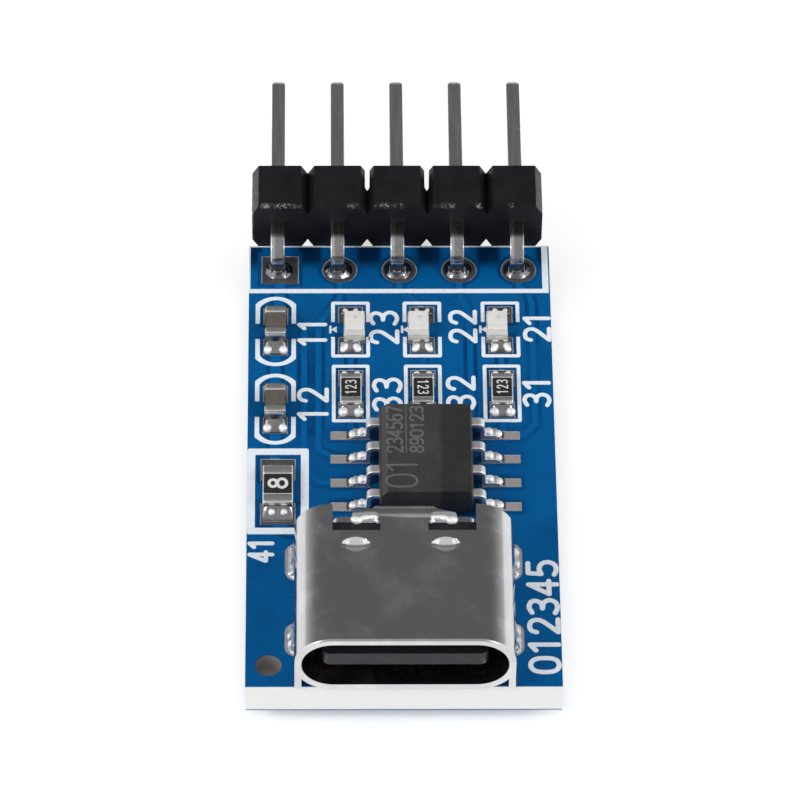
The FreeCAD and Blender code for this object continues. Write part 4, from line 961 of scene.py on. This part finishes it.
labelSet = {
    "pen": 0.185,
    "longPen": 1.12,        # times the pen
    "rise": 0.02,
    # text, x and row of the first digit's foot, height, digit width, advance
    "labels": [
        ("11", -3.16, 5.58, 1.1, 0.52, 0.86),
        ("12", -3.1, 9.72, 1.16, 0.66, 1.06),
        ("23", -0.12, 5.45, 1.12, 0.66, 1.04),
        ("22", 3.18, 5.4, 1.05, 0.66, 1.04),
        ("21", 6.3, 5.32, 1.02, 0.66, 0.86),
        ("33", 0.00, 9.16, 1.12, 0.66, 1.04),
        ("32", 3.06, 9.06, 1.08, 0.66, 1.04),
        ("31", 6.22, 8.9, 1.04, 0.6, 0.9),
        ("41", -5.34, 17.18, 0.93, 0.46, 0.66),
    ],
    "longNumber": ("012345", 6.28, 22.9, 1.16, 0.68, 0.995),
    # bar and triangle of a diode mark, from the middle of the LED
    "diodeBar": (-0.9, -0.8, 0.2),
    "diodeTip": (-0.83, -0.58, 0.17),
}


def printed(name, groups):
    raisedSheet(name, groups, [], boardTop, boardTop + labelSet["rise"], finish["ink"], "legend_ink")


def uprightNumber(text, x, row, height, width, step, pen):
    return digitShapes(text, (x, backY - row), height, width, pen, step)


def dressLegend():
    for label in labelSet["labels"]:
        printed("printedDigits" + label[0], uprightNumber(*label, labelSet["pen"]))
    longPen = labelSet["pen"] * labelSet["longPen"]
    printed("printedLongNumber", uprightNumber(*labelSet["longNumber"], longPen))
    # the small diode marks in the left gap of each LED's frame
    left, right, tall = labelSet["diodeBar"]
    tip, foot, half = labelSet["diodeTip"]
    y = backY - ledRow
    printed("diodeMarks", [[block(x + left, x + right, y - tall, y + tall),
                            [(x + tip, y), (x + foot, y - half), (x + foot, y + half)]] for x in columnX])


dressTracks()
dressLegend()

print("header")

headerSet = {
    "housingEdge": (0.07, 3),       # width and segments of eased edges
    "pinEdge": (0.06, 3),
    "melt": (0.038, 4, 0.03),      # fineness, rounds of smoothing and lumps of melted solder
}


def dressHeader():
    easedCopy("header_housing", "housingBlocks", "housing_plastic", *headerSet["housingEdge"])
    for number in range(1, 6):
        easedCopy("header_pin_%d" % number, "bentPin%d" % number, "pin_plating", *headerSet["pinEdge"])
    meltedCopy("header_solder", "pinSolder", "solder", *headerSet["melt"])


dressHeader()

print("socket")

socketSet = {
    "shellEdge": (0.045, 3, 40),        # width, segments, least angle in degrees
    "legMelt": (0.035, 6, 0.05),
    "rollMelt": (0.025, 4, 0.01),
    "wingX": (0.97, 2.13),
    "wingY": (-9.78, -9.45),
    "wingDrop": 0.24,
    "roof": 5.0,        # faces above this are the shell's top
    # distance from the middle, y, z, radii and slant of each swelling of a wing's rolled edge
    "rolls": [
        (1.94, -9.7, 5.59, (0.25, 0.18, 0.17), 10),
        (1.62, -9.63, 5.62, (0.3, 0.13, 0.145), -16),
        (1.3, -9.6, 5.63, (0.26, 0.11, 0.135), 0),
        (1.06, -9.71, 5.61, (0.12, 0.16, 0.14), 20),
    ],
}


def bendWings(mesh):
    # the front edges of the two rear wings are rolled down a little into the windows
    inner, outer = socketSet["wingX"]
    front, back = socketSet["wingY"]
    build = bmesh.new()
    build.from_mesh(mesh)
    cuts = [((0, front + (back - front) * t, 0), (0, 1, 0)) for t in (0.33, 0.66, 1.0)]
    cuts += [((socketX + side * (inner + t), 0, 0), (1, 0, 0)) for side in (-1, 1) for t in (0.1, 0.2, 0.3)]
    for spot, facing in cuts:
        top = [face for face in build.faces if face.calc_center_median().z > socketSet["roof"]
               and min(v.co.y for v in face.verts) < back + 0.1
               and max(v.co.y for v in face.verts) > front - 0.1]
        parts = dict.fromkeys(part for face in top for part in (face, *face.verts, *face.edges))
        bmesh.ops.bisect_plane(build, geom=list(parts), plane_co=spot, plane_no=facing)
    for vert in build.verts:
        x = abs(vert.co.x - socketX)
        onWing = inner < x < outer + 0.05 and front - 0.01 < vert.co.y < back
        if vert.co.z > socketSet["roof"] and onWing:
            reach = (back - vert.co.y) / (back - front)
            ease = min(1.0, (x - inner) / 0.3)
            bent = socketSet["wingDrop"] * (0.55 * reach + 0.45 * reach ** 2)
            vert.co.z -= bent * ease * ease * (3 - 2 * ease)
    build.to_mesh(mesh)
    build.free()


def wingRolls():
    # the front edges of the two rear wings, rolled, in near-white steel that is a painted highlight
    build = bmesh.new()
    for side in (-1, 1):
        for away, y, z, radii, slant in socketSet["rolls"]:
            drop(build, (socketX + side * away, y, z), radii, side * slant)
    return build


def dressSocket():
    easedCopy("socket_shell", "steelShell", "shell_steel", *socketSet["shellEdge"], bendWings)
    rolls = meltedBeads(wingRolls(), *socketSet["rollMelt"])
    # the rolls get a near-white copy of the steel, a painted highlight
    addPiece("wingRolls", rolls, finish["rolledSteelHighlight"], "shell_steel")
    meltedCopy("socket_leg_solder", "legSolder", "solder", *socketSet["legMelt"])


dressSocket()

print("chip")

chipSet = {
    "bodyEdge": (0.07, 3),
    "leadMelt": (0.024, 5, 0.01),
    "solderMelt": (0.022, 3, 0.015),
    "beadMelt": (0.02, 2, 0.008),
    "markPen": 0.095,
    "markRise": 0.004,
    "markSink": 0.002,
    # text, corner, height, digit width, advance
    "rows": [
        ("01", (0.62, -6.72), 1.28, 0.62, 0.8),
        ("234567", (0.02, -4.9), 0.62, 0.32, 0.425),
        ("890123", (0.88, -4.9), 0.52, 0.32, 0.425),
    ],
    "divider": [(0.18, -4.95), (0.18, -2.35)],
    "dividerPen": 0.05,
    # beads on toe and foot of a lead: distance from the chip's middle, y from the lead, z, radii
    "toeBeads": [(3.03, -0.03, 2.71, (0.17, 0.19, 0.14)), (2.64, 0, 2.84, (0.19, 0.19, 0.14))],
}


def toeBeads():
    build = bmesh.new()
    for side in (-1, 1):
        for leadMiddle in leadY:
            for out, shift, z, radii in chipSet["toeBeads"]:
                drop(build, (chipX + side * out, leadMiddle + shift, z), radii)
    return build


def dressChip():
    easedCopy("chip_body", "chipCase", "chip_plastic", *chipSet["bodyEdge"])
    for side in ("left", "right"):
        meltedCopy("chip_%s_leads" % side, side + "Legs", "lead_plating", *chipSet["leadMelt"])
    meltedCopy("chip_solder", "legToeSolder", "solder", *chipSet["solderMelt"])
    addPiece("legToeBeads", meltedBeads(toeBeads(), *chipSet["beadMelt"]), finish["bead"], "solder")
    top = boxMm("chip_body")[1].z
    shapes = []
    for text, corner, height, width, step in chipSet["rows"]:
        shapes += digitShapes(text, corner, height, width, chipSet["markPen"], step)
    shapes.append(strokeShapes(chipSet["divider"], chipSet["dividerPen"]))
    raisedSheet("chipMarks", shapes, [], top - chipSet["markSink"], top + chipSet["markRise"],
                finish["laserMark"], "chip_plastic")


dressChip()

print("small parts")

smallSet = {
    "lensEdge": (0.05, 3),
    "landEdge": (0.02, 2),
    "solderMelt": (0.024, 3, 0.01),
    "beadMelt": (0.02, 2, 0.008),
    "dieSpot": (0.05, 0.16, 0.085),     # shift in x and y, radius
    "spotRise": 0.001,
    "spotSink": 0.01,
    # length and rounding of the plated ends
    "resistorEnd": (0.3, 0.07),
    "capacitorEnd": (0.43, 0.12),
    "fuseEnd": (0.5, 0.09),
    "codeRise": 0.006,
    "codeSink": 0.004,
    # text, start of the code from the middle of the part, height, digit width, pen, advance
    "resistorCode": ("123", (0.215, -0.36), 0.43, 0.16, 0.054, 0.28),
    "fuseCode": ("8", (0.36, -0.23), 0.72, 0.46, 0.135, 0.4),
    # solder: width, end of the cap, outer end, climb
    # bead: radii, half the distance apart, distance out, height, slant
    "ledSolder": ((0.86, 0.78, 1.22, 0.16), (0.15, 0.25, 0.27, 1.03, 0.06, 30)),
    "resistorSolder": ((0.86, 0.78, 1.22, 0.22), (0.2, 0.21, 0.34, 1.06, 0.08, 15)),
    "capacitorSolder": ((0.86, 0.78, 1.22, 0.34), (0.18, 0.2, 0.33, 1.05, 0.06, 15)),
    "fuseSolder": ((1.26, 0.98, 1.64, 0.3), (0.14, 0.15, 0.25, 1.18, 0.12, 0)),
    "rearBead": (0.75, 0.08, 0.06),     # less solder behind: size, closer together, closer in
}


def solderEnd(build, x, y, side, width, end, outer, climb):
    # solder at one end of a part: a hollow climb up the end cap
    across = 14
    out = 8
    rows = []
    for j in range(out + 1):
        v = j / out
        row = []
        for i in range(across + 1):
            u = -1 + 2 * i / across
            height = 0.03 + climb * (1 - v) ** 2.2 * (1 - 0.5 * abs(u) ** 6)
            spot = (x + u * width / 2, y + side * (end + (outer - end) * v), padTop + height)
            row.append(build.verts.new(spot))
        rows.append(row)
    floor = [[build.verts.new((vert.co.x, vert.co.y, padTop)) for vert in row] for row in rows]
    for grid in (rows, floor):
        for a, b in zip(grid, grid[1:]):
            for i in range(across):
                build.faces.new((a[i], a[i + 1], b[i + 1], b[i]))
    rim, foot = [grid[0][:-1] + [row[-1] for row in grid[:-1]] + grid[-1][:0:-1]
                 + [row[0] for row in grid[:0:-1]] for grid in (rows, floor)]
    for i in range(len(rim)):
        k = (i + 1) % len(rim)
        build.faces.new((rim[i], rim[k], foot[k], foot[i]))


def roundedEnds(name, node, length, rounding):
    # plated end caps as rounded blocks round the ceramic
    low, high = boxMm(node)
    build = bmesh.new()
    for y0, y1 in ((low.y, low.y + length), (high.y - length, high.y)):
        size = Matrix.Diagonal((high.x - low.x, y1 - y0, high.z - low.z, 1))
        middle = middleOf(node)
        middle.y = (y0 + y1) / 2
        made = bmesh.ops.create_cube(build, size=1, matrix=Matrix.Translation(middle) @ size)
        edges = dict.fromkeys(edge for vert in made["verts"] for edge in vert.link_edges)
        bmesh.ops.bevel(build, geom=list(edges), offset=rounding, segments=5, profile=0.5,
                        affect="EDGES", clamp_overlap=True)
    for vert in build.verts:
        vert.co += vert.normal * noise.noise(vert.co * 4) * 0.006 - vert.normal * 0.004
    for face in build.faces:
        face.smooth = True
    addPiece(name, inMetres(meshOf(build, name)), finishOf(node), "terminal_tin", node)


def dressSmallSolder():
    build = bmesh.new()
    beads = bmesh.new()
    ends = [(x, row, kind) for x in columnX for row, kind in ((ledRow, "led"), (resistorRow, "resistor"))]
    ends += [(capacitorX, row, "capacitor") for row in capacitorRows] + [(fuseX, fuseRow, "fuse")]
    smaller, closer, further = smallSet["rearBead"]
    for x, row, kind in ends:
        y = backY - row
        solder, bead = smallSet[kind + "Solder"]
        for side in (-1, 1):
            solderEnd(build, x, y, side, *solder)
            wide, long, apart, away, high, slant = bead
            if side > 0:
                wide, long, apart, away = wide * smaller, long * smaller, apart - closer, away - further
            for way in (-1, 1):
                spot = (x + way * apart, y + side * away, padTop + high)
                drop(beads, spot, (wide, long, wide), -way * side * slant)
    bmesh.ops.recalc_face_normals(build, faces=build.faces)
    climbs = meltedBeads(build, *smallSet["solderMelt"])
    addPiece("partSolder", climbs, finish["solder"], "solder", "small_part_solder")
    addPiece("partBeads", meltedBeads(beads, *smallSet["beadMelt"]), finish["bead"], "solder")


def codeOn(node, name, code, turn, way=1):
    # a printed code on a black overcoat; way -1 starts it at the opposite corner
    text, (startX, startY), height, width, pen, step = code
    middle, top = middleOf(node), boxMm(node)[1].z
    corner = (middle.x + way * startX, middle.y + way * startY)
    shapes = digitShapes(text, corner, height, width, pen, step, turn)
    raisedSheet(name, shapes, [], top - smallSet["codeSink"], top + smallSet["codeRise"],
                finish["markInk"], "resistor_overcoat")


def dressSmallParts():
    shiftX, shiftY, radius = smallSet["dieSpot"]
    middles = [middleOf("led_%d_lens" % number) for number in (1, 2, 3)]
    spots = [[disc(middle.x + shiftX, middle.y + shiftY, radius)] for middle in middles]
    top = boxMm("led_3_lens")[1].z
    raisedSheet("dieSpots", spots, [], top - smallSet["spotSink"], top + smallSet["spotRise"],
                finish["dieSpot"], "led_lens_resin")
    for number in (1, 2, 3):
        easedCopy("led_%d_lens" % number, "lampBlock%d" % number, "led_lens_resin", *smallSet["lensEdge"])
        easedCopy("led_%d_lands" % number, "lampEnds%d" % number, "terminal_tin", *smallSet["landEdge"])
        roundedEnds("resistorEnds%d" % number, "resistor_%d_end_caps" % number, *smallSet["resistorEnd"])
        turned = number == 2
        codeOn("resistor_%d_overcoat" % number, "resistorCode%d" % number, smallSet["resistorCode"],
               -90 if turned else 90, -1 if turned else 1)
    for number in (1, 2):
        roundedEnds("capacitorEnds%d" % number, "capacitor_%d_end_caps" % number, *smallSet["capacitorEnd"])
    roundedEnds("fuseEnds", "fuse_end_caps", *smallSet["fuseEnd"])
    codeOn("fuse_overcoat", "fuseDigit", smallSet["fuseCode"], 90)


dressSmallSolder()
dressSmallParts()

print("done")
